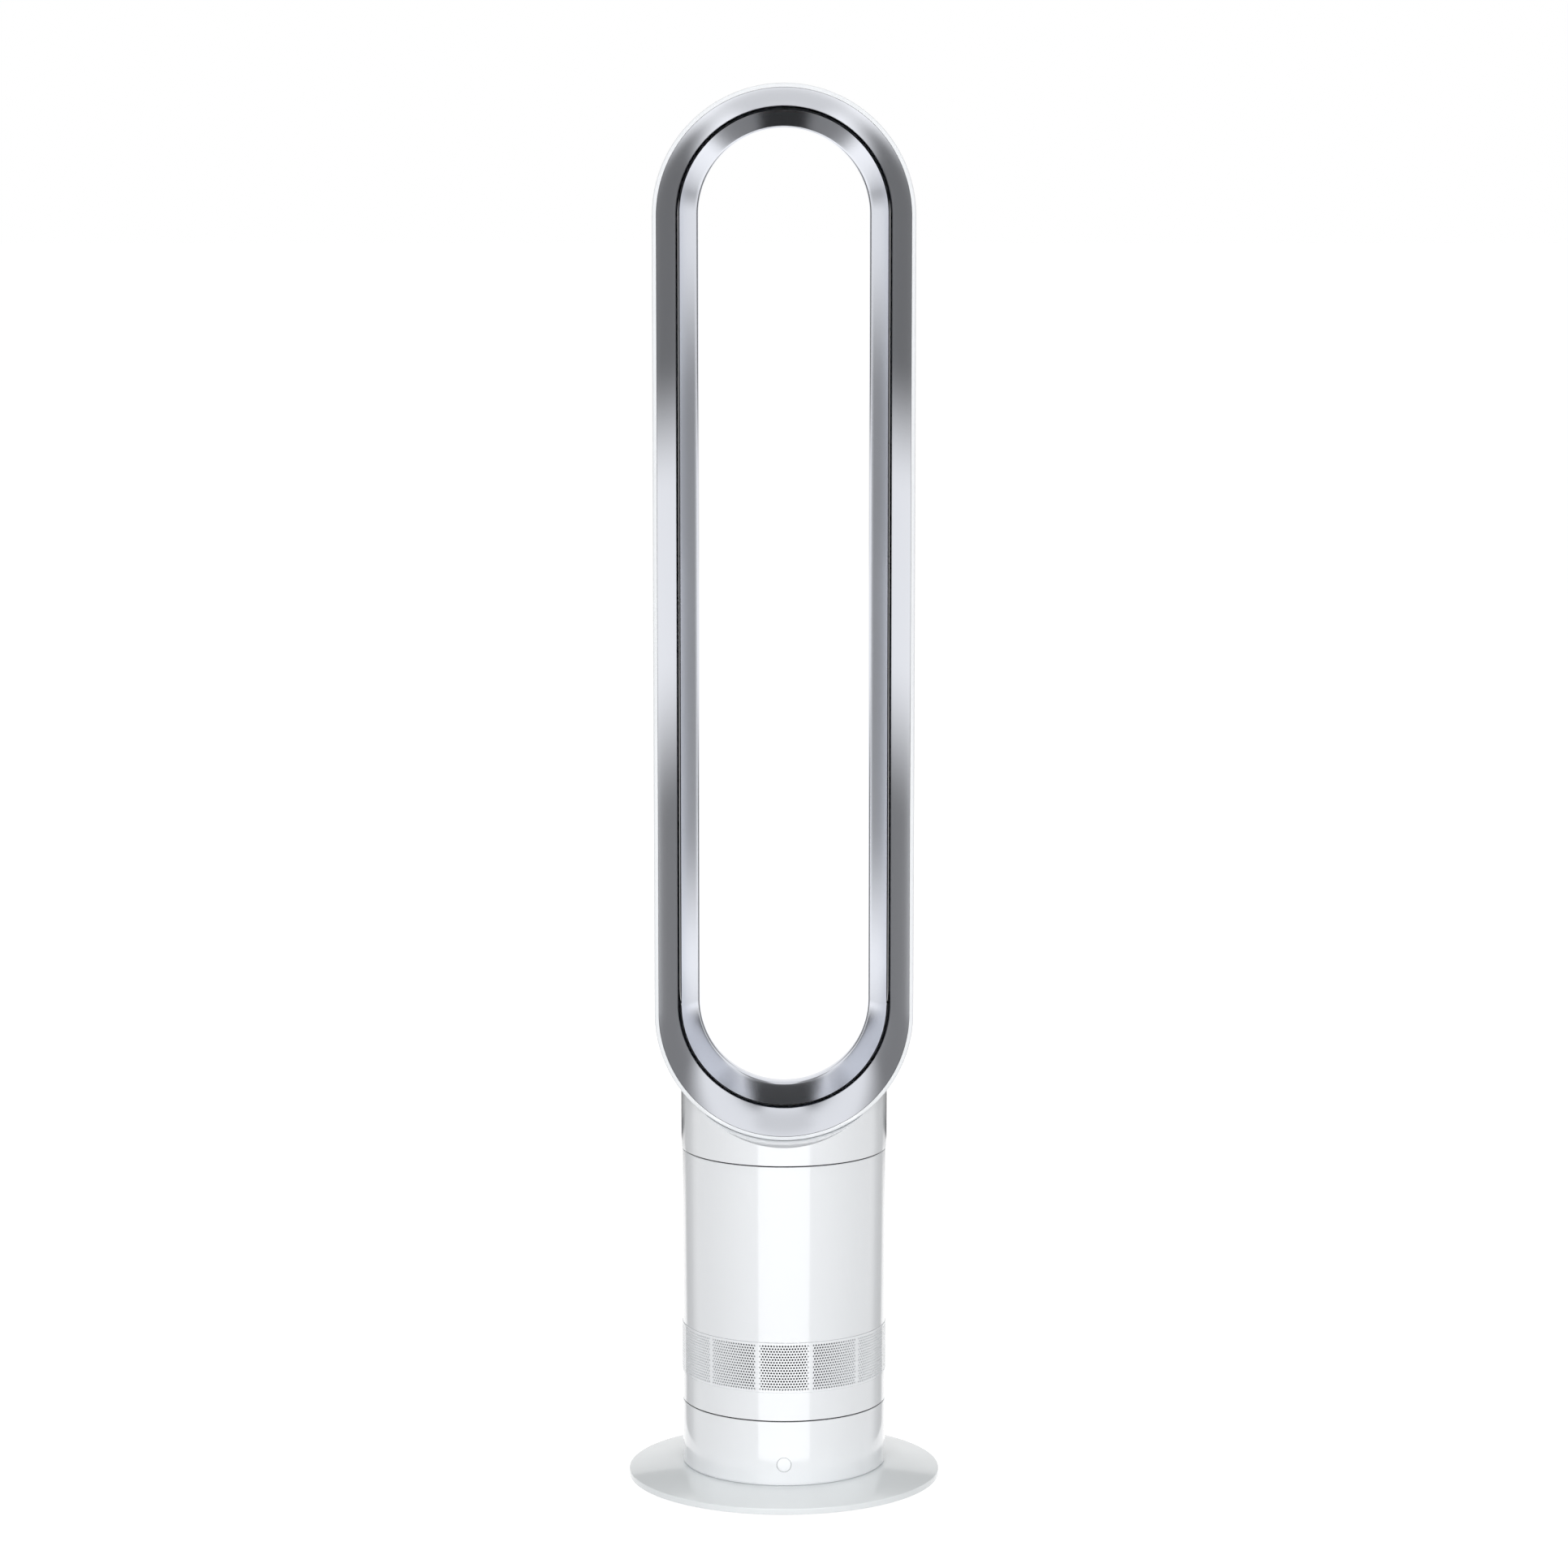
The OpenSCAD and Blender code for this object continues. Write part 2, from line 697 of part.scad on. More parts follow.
// Capacitors, a transformer, a chip and a connector, at shares and parts of the board's size
module board_components() {
    top = lower_floor_z + control_rise + board_t;
    capacitor_share = [[-0.30, -0.30], [-0.30, -0.12], [0.02, -0.34]];
    capacitor_r = 4;
    capacitor_h = 11;
    coil_w = 14;
    coil_h = 10;
    chip_w = 9;
    chip_h = 1.6;
    plug_w = 12;
    plug_h = 6;
    coil_part = 6;
    chip_part = [4, 8];
    plug_part = 3;
    color(dark_plastic) {
        for (p = capacitor_share)
            translate([control_x + p[0] * control_w, control_y + p[1] * control_l, top])
                cylinder(r = capacitor_r, h = capacitor_h, $fn = small_fn);
        translate([control_x + control_w / coil_part - coil_w / 2, control_y - coil_w / 2, top])
            cube([coil_w, coil_w, coil_h]);
        translate([control_x - control_w / chip_part[0] - chip_w / 2,
                   control_y + control_l / chip_part[1], top])
            cube([chip_w, chip_w, chip_h]);
        translate([control_x - plug_w / 2, control_y + control_l / plug_part, top])
            cube([plug_w, plug_w / 2, plug_h]);
    }
}

// Power inlet at the back, with a recessed mouth and a centre pin
module dc_socket() {
    color(dark_plastic)
        difference() {
            translate([-socket_w / 2, socket_face_y - socket_l, lower_floor_z + part_gap])
                cube([socket_w, socket_l, socket_h - part_gap]);
            along_y(socket_bore_r, socket_face_y - socket_depth, socket_face_y + over, socket_z);
            along_y(socket_mouth_r, socket_face_y - floor_t / 2, socket_face_y + over, socket_z);
        }
    color(steel)
        along_y(socket_pin_r, socket_face_y - socket_depth - over, socket_face_y - over, socket_z);
}

// Fixed plate that carries the swivel and the motor
module bearing_plate() {
    color(dark_plastic)
        difference() {
            translate([0, 0, bearing_plate_z])
                cylinder(r = bearing_plate_r, h = bearing_plate_t, $fn = round_fn);
            translate([0, 0, bearing_plate_z - over])
                cylinder(r = bush_r, h = bearing_plate_t + 2 * over, $fn = round_fn);
            around(bearing_boss_count, bearing_boss_ring_r, bearing_boss_angle)
                translate([0, 0, bearing_plate_z - over])
                    cylinder(r = screw_r + part_gap, h = bearing_plate_t + 2 * over, $fn = small_fn);
            around(bearing_boss_count, bearing_boss_ring_r, bearing_boss_angle)
                translate([0, 0, bearing_plate_top - screw_head_h])
                    cylinder(r = screw_head_r + part_gap, h = screw_head_h + over, $fn = small_fn);
            rotate([0, 0, pinion_angle])
                translate([gear_centre_r, 0, bearing_plate_z - over]) {
                    cylinder(r = motor_boss_r + part_gap, h = bearing_plate_t + 2 * over, $fn = small_fn);
                    for (s = [-1, 1])
                        translate([0, s * motor_ear_r, 0])
                            cylinder(r = screw_r + shaft_gap, h = bearing_plate_t + 2 * over,
                                     $fn = small_fn);
                }
        }
}

module bearing_plate_screws() {
    length = bearing_plate_t + boss_r;
    color(steel)
        around(bearing_boss_count, bearing_boss_ring_r, bearing_boss_angle)
            translate([0, 0, bearing_plate_top])
                rotate([180, 0, 0])
                    screw_up(length);
}

// Flanged acetal bush in the bearing plate; the turntable's spigot turns in it
module spigot_bush() {
    color(acetal)
        difference() {
            union() {
                translate([0, 0, bearing_plate_z])
                    cylinder(r = bush_r - shaft_gap, h = bearing_plate_t, $fn = round_fn);
                translate([0, 0, bearing_plate_top])
                    cylinder(r = bush_r + bush_flange, h = bush_flange_t, $fn = round_fn);
            }
            translate([0, 0, bearing_plate_z - over])
                cylinder(r = spigot_r + shaft_gap, h = bearing_plate_t + bush_flange_t + 2 * over,
                         $fn = round_fn);
        }
}

// Low-friction ring that the ring gear's underside runs on
module glide_ring() {
    color(acetal)
        difference() {
            ring(ring_gear_r, ring_pitch_r + tooth_dedendum * gear_module, bearing_plate_top, glide_t);
            around(bearing_boss_count, bearing_boss_ring_r, bearing_boss_angle)
                translate([0, 0, bearing_plate_top - over])
                    cylinder(r = screw_head_r + part_gap, h = glide_t + 2 * over, $fn = small_fn);
        }
}

module thrust_washer() {
    color(acetal)
        ring(spigot_r + washer_w, spigot_r + shaft_gap, washer_z, washer_t);
}

// Flat round gear motor below the bearing plate
module oscillation_motor() {
    color(steel)
        rotate([0, 0, pinion_angle])
            translate([gear_centre_r, 0, 0])
                difference() {
                    union() {
                        translate([0, 0, motor_z])
                            cylinder(r = motor_r, h = motor_h, $fn = round_fn);
                        translate([0, 0, motor_top])
                            cylinder(r = motor_boss_r, h = bearing_plate_t - part_gap, $fn = small_fn);
                        for (s = [-1, 1])
                            translate([0, s * motor_ear_r, motor_top - motor_flange_t])
                                cylinder(r = motor_ear_hole_r, h = motor_flange_t, $fn = small_fn);
                        translate([-motor_ear_hole_r * motor_neck_share, -motor_ear_r,
                                   motor_top - motor_flange_t])
                            cube([2 * motor_ear_hole_r * motor_neck_share, 2 * motor_ear_r,
                                  motor_flange_t]);
                    }
                    translate([0, 0, motor_z + motor_h / 2])
                        cylinder(r = pinion_shaft_r + shaft_gap, h = motor_h + over, $fn = small_fn);
                    for (s = [-1, 1])
                        translate([0, s * motor_ear_r, motor_top - motor_flange_t - over])
                            cylinder(r = screw_r + part_gap, h = motor_flange_t + 2 * over, $fn = small_fn);
                }
}

module motor_screws() {
    color(steel)
        rotate([0, 0, pinion_angle])
            for (s = [-1, 1])
                translate([gear_centre_r, s * motor_ear_r, motor_top - motor_flange_t - screw_head_h])
                    screw_up(motor_flange_t + bearing_plate_t - part_gap);
}

module pinion_shaft() {
    color(steel)
        rotate([0, 0, pinion_angle])
            translate([gear_centre_r, 0, motor_z + motor_h / 2 + part_gap])
                cylinder(r = pinion_shaft_r,
                         h = turntable_z - run_gap - motor_z - motor_h / 2 - 2 * part_gap,
                         $fn = small_fn);
}

// Pinion in mesh with the ring gear: a tooth points outwards along the line of centres
module drive_pinion() {
    tip = pinion_pitch_r + tooth_addendum * gear_module;
    root = pinion_pitch_r - tooth_dedendum * gear_module;
    color(acetal)
        rotate([0, 0, pinion_angle])
            translate([gear_centre_r, 0, gear_z])
                difference() {
                    linear_extrude(gear_w - run_gap)
                        union() {
                            circle(r = root, $fn = small_fn);
                            for (i = [0 : pinion_teeth - 1])
                                rotate([0, 0, 360 * i / pinion_teeth])
                                    tooth(root - tooth_addendum, tip, pinion_pitch_r, 1);
                        }
                    translate([0, 0, -over])
                        cylinder(r = pinion_shaft_r, h = gear_w + 2 * over, $fn = small_fn);
                }
}

// Turning disc under the tower, with the internal gear and the hollow spigot
module turntable() {
    tip = ring_pitch_r - tooth_addendum * gear_module;
    root = ring_pitch_r + tooth_dedendum * gear_module;
    half_pitch = 180 / ring_teeth;
    color(dark_plastic)
        difference() {
            union() {
                translate([0, 0, turntable_z])
                    cylinder(r = turntable_r, h = turntable_t, $fn = round_fn);
                ring(ring_gear_r, root, gear_z, gear_w + turntable_t / 2);
                translate([0, 0, gear_z])
                    linear_extrude(gear_w + turntable_t / 2)
                        for (i = [0 : ring_teeth - 1])
                            rotate([0, 0, pinion_angle + half_pitch + 2 * half_pitch * i])
                                tooth(tip, root + tooth_addendum, ring_pitch_r, -1);
                translate([0, 0, spigot_z])
                    cylinder(r = spigot_r, h = turntable_z - spigot_z + turntable_t / 2, $fn = round_fn);
            }
            translate([0, 0, spigot_z - over])
                cylinder(r = spigot_hole_r, h = turntable_z + turntable_t - spigot_z + 2 * over,
                         $fn = round_fn);
            ring(spigot_r + over, spigot_r - clip_depth, clip_z - shaft_gap, clip_t + 2 * shaft_gap);
            around(tower_screw_count, tower_screw_ring_r, tower_screw_angle)
                translate([0, 0, turntable_z - over])
                    cylinder(r = screw_r + part_gap, h = turntable_t + 2 * over, $fn = small_fn);
        }
}

module turntable_screws() {
    color(steel)
        around(tower_screw_count, tower_screw_ring_r, tower_screw_angle)
            translate([0, 0, turntable_z - screw_head_h])
                screw_up(turntable_t + floor_t + boss_r);
}

// Split steel ring in the spigot's groove
module retaining_clip() {
    color(steel)
        difference() {
            ring(spigot_r + clip_w, spigot_r - clip_depth + shaft_gap, clip_z, clip_t);
            translate([-clip_gap_w / 2, 0, clip_z - over])
                cube([clip_gap_w, 2 * spigot_r, clip_t + 2 * over]);
        }
}

// Lower end of the tower: floor, short wall, and the windows behind the perforated band
module inlet_housing() {
    window_h = grille_h - 2 * window_margin;
    color(white_plastic)
        difference() {
            union() {
                rotate_extrude($fn = round_fn)
                    polygon([
                        [spigot_hole_r, main_z],
                        [body_r, main_z],
                        [body_r, grille_z],
                        [spigot_ring_r, grille_z],
                        [spigot_ring_r, grille_top_z + inlet_socket_h],
                        [inlet_inner_r, grille_top_z + inlet_socket_h],
                        [inlet_inner_r, main_z + floor_t],
                        [spigot_hole_r, main_z + floor_t]
                    ]);
                around(tower_screw_count, tower_screw_ring_r, tower_screw_angle)
                    translate([0, 0, main_z + floor_t / 2])
                        cylinder(r = boss_r, h = floor_t / 2 + 2 * boss_r, $fn = small_fn);
            }
            for (i = [0 : grille_panels - 1])
                rotate([0, 0, -90 + i * panel_deg])
                    sector(body_r + over, inlet_inner_r - over, grille_z + window_margin, window_h,
                           panel_deg - window_rib_deg);
            around(tower_screw_count, tower_screw_ring_r, tower_screw_angle)
                translate([0, 0, main_z - over])
                    cylinder(r = screw_r + shaft_gap, h = floor_t + boss_r + over + part_gap,
                             $fn = small_fn);
        }
}

// Perforated band: staggered rows of drilled holes in twelve panels
module inlet_grille() {
    usable_h = grille_h - 2 * hole_margin - grille_hole_d;
    usable_deg = panel_deg - window_rib_deg - 2 * grille_hole_d / 2;
    row_step = usable_h / (grille_rows - 1);
    col_step = usable_deg / (grille_cols - 1);
    color(white_plastic)
        difference() {
            ring(grille_r, grille_inner_r, grille_z + shaft_gap, grille_h - 2 * shaft_gap);
            for (i = [0 : grille_panels - 1], row = [0 : grille_rows - 1])
                let (short = row % 2)
                for (col = [0 : grille_cols - 1 - short])
                    rotate([0, 0, -90 + i * panel_deg - usable_deg / 2 + (col + short / 2) * col_step])
                        translate([grille_inner_r - over, 0,
                                   grille_z + hole_margin + grille_hole_d / 2 + row * row_step])
                            rotate([0, 90, 0])
                                cylinder(d = grille_hole_d, h = body_wall + 2 * over, $fn = small_fn);
        }
}

// Tall upper cylinder of the tower, with the ledge that carries the blower
module main_housing() {
    socket_top = grille_top_z + inlet_socket_h;
    color(white_plastic) {
        difference() {
            union() {
                rotate_extrude($fn = round_fn)
                    polygon([
                        [grille_inner_r, grille_top_z],
                        [body_r, grille_top_z],
                        [body_r, main_top_z],
                        [inner_r, main_top_z],
                        [inner_r, socket_top + part_gap],
                        [grille_inner_r, socket_top + part_gap]
                    ]);
                ring(inner_r + body_wall / 2, inner_r - ledge_w, ledge_z, ledge_t);
            }
            around(mount_count, inner_r - ledge_w / 2)
                translate([0, 0, ledge_z - over])
                    cylinder(r = mount_r / 2, h = ledge_t + 2 * over, $fn = small_fn);
        }
        // three arcs under which the collar's lugs turn
        for (i = [0 : lug_count - 1])
            rotate([0, 0, 360 * i / lug_count + lug_angle])
                sector(inner_r + body_wall / 2, inner_r - lug_t, lug_ledge_z, lug_t, 2 * lug_deg);
    }
}

module lower_foam() {
    color(foam_grey)
        difference() {
            ring(lower_foam_r, lower_foam_inner_r, main_z + floor_t, foam_t);
            around(tower_screw_count, tower_screw_ring_r, tower_screw_angle)
                translate([0, 0, main_z])
                    cylinder(r = boss_r + foam_gap, h = floor_t + foam_t + over, $fn = small_fn);
        }
}

module upper_foam() {
    color(foam_grey)
        ring(inner_r - foam_gap, inner_r - upper_foam_w, shroud_top_z + flange_t + foam_gap, upper_foam_h);
}

// Bell-mouthed duct round the impeller and the motor bucket
module impeller_shroud() {
    throat = eye_r + impeller_ring_t / 2 + shroud_gap;
    wide = shroud_inner_r;
    inner = concat(
        bend_points([throat + bell_lip, bell_z], [throat, bell_z], [throat, impeller_z],
                    bell_steps),
        [[throat, impeller_z + shroud_wall]],
        [[impeller_r + impeller_ring_t / 2 + shroud_gap, impeller_ring_z],
         [wide, impeller_ring_z + shroud_wall], [wide, shroud_top_z + flange_t]]);
    outer = [for (p = reverse(inner)) [p[0] + shroud_wall, p[1]]];
    color(dark_plastic) {
        difference() {
            union() {
                rotate_extrude($fn = round_fn)
                    polygon(concat(inner, outer));
                ring(flange_r, wide + shroud_wall / 2, shroud_top_z, flange_t);
            }
            around(mount_count, inner_r - ledge_w / 2)
                translate([0, 0, shroud_top_z - over])
                    cylinder(r = mount_r / 2, h = flange_t + 2 * over, $fn = small_fn);
        }
    }
}

// Rubber isolators between the housing's ledge and the shroud's flange
module shroud_mounts() {
    color(rubber_black)
        around(mount_count, inner_r - ledge_w / 2) {
            translate([0, 0, ledge_z + ledge_t])
                cylinder(r = mount_r, h = mount_h, $fn = small_fn);
            translate([0, 0, ledge_z - part_gap])
                cylinder(r = mount_r / 2 - shaft_gap, h = ledge_t + mount_h + flange_t + 2 * part_gap,
                         $fn = small_fn);
        }
}

// Lower half of the motor's casing, with the lower bearing's seat and the stator's shoulder
module bucket_lower() {
    seat_r = bearing_outer_r + shaft_gap;
    color(dark_plastic)
        difference() {
            union() {
                ring(bucket_r, bucket_r - bucket_wall, bucket_z, bucket_h);
                translate([0, 0, bucket_z])
                    cylinder(r = bucket_r - bucket_wall / 2, h = bucket_wall, $fn = round_fn);
                ring(seat_r + bearing_seat_wall, seat_r, bucket_z, bucket_wall + bearing_w);
                ring(stator_r + bearing_seat_wall, stator_r - bearing_seat_wall, bucket_z,
                     stator_z - bucket_z);
                around(cap_screw_count, cap_screw_ring_r, cap_screw_angle)
                    translate([0, 0, bucket_z])
                        cylinder(r = boss_r, h = bucket_h, $fn = small_fn);
            }
            translate([0, 0, bucket_z - over])
                cylinder(r = shaft_r + shroud_gap, h = bucket_wall + 2 * over, $fn = round_fn);
            translate([0, 0, lower_bearing_z])
                cylinder(r = seat_r, h = bearing_w + over, $fn = round_fn);
            around(cap_screw_count, cap_screw_ring_r, cap_screw_angle) {
                translate([0, 0, bucket_z - over])
                    cylinder(r = screw_head_r + part_gap, h = cap_seat_z - bucket_z + over, $fn = small_fn);
                translate([0, 0, cap_seat_z - over])
                    cylinder(r = screw_r + part_gap, h = bucket_top_z - cap_seat_z + 2 * over,
                             $fn = small_fn);
            }
        }
}

// Domed cap of the motor's casing
module bucket_upper() {
    base_z = bucket_top_z + part_gap;
    lip_z = bucket_top_z - bucket_wall;
    lip_r = bucket_r - bucket_wall - part_gap;
    dome = bend_points([bucket_r, base_z], [bucket_r, base_z + bucket_cap_h], [0, base_z + bucket_cap_h],
                       dome_steps);
    inner_share = (bucket_r - bucket_wall) / bucket_r;
    inside = [for (p = dome) [p[0] * inner_share, base_z + (p[1] - base_z) * inner_share]];
    color(dark_plastic)
        difference() {
            // dome and the register lip that drops into the lower half
            rotate_extrude($fn = round_fn)
                polygon(concat([[0, lip_z], [lip_r, lip_z], [lip_r, base_z]], dome));
            // hollow, apart from the bosses that the screws bite in
            difference() {
                rotate_extrude($fn = round_fn)
                    polygon(concat([[0, lip_z - over], [lip_r - bucket_wall, lip_z - over],
                                    [lip_r - bucket_wall, base_z + bucket_wall]], rest_of(inside)));
                around(cap_screw_count, cap_screw_ring_r, cap_screw_angle)
                    translate([0, 0, lip_z - 2 * over])
                        cylinder(r = boss_r, h = bucket_cap_h, $fn = small_fn);
            }
            // room in the lip for the lower half's bosses, and the screw holes
            around(cap_screw_count, cap_screw_ring_r, cap_screw_angle) {
                translate([0, 0, lip_z - 3 * over])
                    cylinder(r = boss_r + part_gap, h = base_z - lip_z + 3 * over, $fn = small_fn);
                translate([0, 0, base_z - over])
                    cylinder(r = screw_r + shaft_gap, h = 2 * boss_r, $fn = small_fn);
            }
        }
}

// Vanes between an inner sleeve on the bucket and an outer sleeve in the shroud
module diffuser() {
    reach = diffuser_outer_r - diffuser_inner_r;
    color(dark_plastic) {
        ring(diffuser_inner_r + sleeve_t, diffuser_inner_r, diffuser_z, diffuser_h);
        ring(diffuser_outer_r, diffuser_outer_r - sleeve_t, diffuser_z, diffuser_h);
        around(vane_count, diffuser_inner_r + sleeve_t / 2)
            translate([0, 0, diffuser_z + diffuser_h / 2])
                rotate([vane_lean, 0, 0])
                    translate([0, -vane_t / 2, -diffuser_h / 2 + sleeve_t])
                        cube([reach - sleeve_t, vane_t, diffuser_h - 2 * sleeve_t]);
    }
}

// Laminated core with wound teeth
module stator() {
    winding_t = 3;          // of both sides of a coil together
    winding_clear = 2;
    winding_w = stator_tooth_w + winding_t;
    winding_l = stator_r - stator_bore_r - stator_yoke - winding_clear;
    color(steel) {
        ring(stator_r, stator_r - stator_yoke, stator_z, stator_h);
        difference() {
            around(stator_slots, stator_bore_r)
                translate([0, -stator_tooth_w / 2, stator_z])
                    cube([stator_r - stator_bore_r - stator_yoke / 2, stator_tooth_w, stator_h]);
            translate([0, 0, stator_z - over])
                cylinder(r = stator_bore_r, h = stator_h + 2 * over, $fn = round_fn);
        }
    }
    color(copper)
        around(stator_slots, stator_bore_r + over)
            translate([over / 2, -winding_w / 2, stator_z - over])
                cube([winding_l, winding_w, stator_h + 2 * over]);
}

// Two ball bearings on the motor shaft, with a groove between their races
module shaft_bearings() {
    groove_w = 0.6;
    groove_out_share = 0.75;
    groove_in_share = 0.5;
    for (z = [lower_bearing_z, upper_bearing_z])
        color(steel)
            difference() {
                ring(bearing_outer_r, shaft_r + shaft_gap, z, bearing_w);
                for (face_z = [z, z + bearing_w])
                    ring(bearing_outer_r * groove_out_share, bearing_outer_r * groove_in_share,
                         face_z - groove_w / 2, groove_w);
            }
}

// Holder of the upper bearing, with three arms to the bosses and posts for the driver board
module bearing_bridge() {
    seat_r = bearing_outer_r + shaft_gap;
    arm_start = seat_r + bearing_seat_wall / 2;
    color(dark_plastic) {
        ring(seat_r + bearing_seat_wall, seat_r, upper_bearing_z, bearing_w);
        for (i = [0 : cap_screw_count - 1])
            rotate([0, 0, 360 * i / cap_screw_count + cap_screw_angle])
                translate([arm_start, -spider_w / 2, upper_bearing_z])
                    cube([cap_screw_ring_r - boss_r - part_gap - arm_start, spider_w, spider_t]);
        around(cap_screw_count, bridge_post_ring_r, cap_screw_angle)
            translate([0, 0, upper_bearing_z])
                cylinder(r = bridge_post_r, h = driver_board_z - upper_bearing_z, $fn = small_fn);
    }
}

module driver_board() {
    color(board_green)
        difference() {
            ring(driver_board_r, shaft_r + driver_board_bore, driver_board_z, board_t);
            around(cap_screw_count, cap_screw_ring_r, cap_screw_angle)
                translate([0, 0, driver_board_z - over])
                    cylinder(r = boss_r + part_gap, h = board_t + 2 * over, $fn = small_fn);
        }
}

module bucket_screws() {
    color(steel)
        around(cap_screw_count, cap_screw_ring_r, cap_screw_angle)
            translate([0, 0, cap_seat_z - screw_head_h])
                screw_up(bucket_top_z - cap_seat_z + boss_r);
}

module rotor() {
    color(rubber_black)
        ring(rotor_r, shaft_r, stator_z - over, stator_h + 2 * over);
}

module motor_shaft() {
    color(steel)
        translate([0, 0, shaft_bottom_z])
            cylinder(r = shaft_r, h = shaft_top_z - shaft_bottom_z, $fn = round_fn);
}

// Mixed-flow impeller: hub cone, swept blades and an outer ring
module impeller() {
    waist_share = [1.7, 0.45];       // radius of the hub's foot, height of the impeller
    shoulder_share = [0.62, 0.8];    // radius and height of the impeller
    hollow_share = [0.85, 0.5];      // radius and height of the impeller
    hub = [[hub_r, impeller_z],
           [hub_r * waist_share[0], impeller_z + impeller_h * waist_share[1]],
           [impeller_r * shoulder_share[0], impeller_z + impeller_h * shoulder_share[1]],
           [impeller_r, hub_top_z - hub_back_t]];
    eye_z = impeller_z + shroud_wall;
    ring_top = impeller_ring_z;
    wall = [[eye_r, eye_z], [impeller_r, ring_top]];
    color(dark_plastic)
        difference() {
            union() {
                // hub cone with its back plate
                rotate_extrude($fn = round_fn)
                    polygon(concat([[shaft_r, impeller_z]], hub,
                                   [[impeller_r, hub_top_z], [shaft_r, hub_top_z]]));
                // outer ring, parallel to the shroud
                rotate_extrude($fn = round_fn)
                    polygon([wall[0], wall[1],
                             [wall[1][0] + impeller_ring_t / 2, wall[1][1]],
                             [wall[0][0] + impeller_ring_t / 2, wall[0][1] - impeller_ring_t / 2],
                             [wall[0][0], wall[0][1] - impeller_ring_t / 2]]);
                // blades, cut to the space between hub and ring
                intersection() {
                    rotate_extrude($fn = round_fn)
                        polygon([[hub_r - over, impeller_z + shroud_wall],
                                 [eye_r + impeller_ring_t / 4, impeller_z + shroud_wall],
                                 [impeller_r + impeller_ring_t / 4, ring_top],
                                 [impeller_r, hub_top_z - hub_back_t / 2],
                                 [hub_r - over, hub_top_z - hub_back_t / 2]]);
                    translate([0, 0, impeller_z])
                        linear_extrude(impeller_h)
                            for (i = [0 : blade_count - 1])
                                rotate([0, 0, 360 * i / blade_count])
                                    blade_outline();
                }
            }
            translate([0, 0, impeller_z - over])
                cylinder(r = shaft_r, h = impeller_h + 2 * over, $fn = round_fn);
            // hollow back of the hub, round the bore's boss
            rotate_extrude($fn = round_fn)
                polygon([
                    [hub_boss_r, hub_top_z + over],
                    [hub_boss_r, impeller_z + impeller_h * hollow_share[1]],
                    [hub[1][0] - hub_back_t, impeller_z + impeller_h * hollow_share[1]],
                    [hub[2][0] - hub_back_t, hub[2][1] + hub_back_t],
                    [impeller_r * hollow_share[0], hub_top_z - hub_back_t / 2],
                    [impeller_r * hollow_share[0], hub_top_z + over]
                ]);
        }
}

// Plan of one blade: a strip of an arc that leaves the hub and trails backwards
module blade_outline() {
    reach = impeller_r - hub_r;
    half_chord = reach / 2 / cos(blade_sweep / 2);
    steps = 10;
    spread = asin(half_chord / blade_curve_r);
    outer = arc_points(0, 0, blade_curve_r + blade_t / 2, 90 - spread, 90 + spread, steps);
    inner = arc_points(0, 0, blade_curve_r - blade_t / 2, 90 + spread, 90 - spread, steps);
    translate([hub_r - over, 0])
        rotate([0, 0, -blade_sweep / 2])
            translate([half_chord, -blade_curve_r * cos(spread)])
                polygon(concat(outer, inner));
}

// Outline of the neck's opening: a rectangle with round ends
module neck_outline(grow) {
    half = (inlet_w - inlet_l) / 2;
    union() {
        for (s = [-1, 1])
            translate([s * half, inlet_y])
                circle(r = inlet_l / 2 + grow, $fn = round_fn);
        translate([-half, inlet_y - inlet_l / 2 - grow])
            square([2 * half, inlet_l + 2 * grow]);
    }
}

// Cylinder along Y that the loop's lower end lies in
module saddle(r) {
    translate([0, -collar_r - over, arc_z])
        rotate([-90, 0, 0])
            cylinder(r = r, h = 2 * collar_r + 2 * over, $fn = round_fn);
}

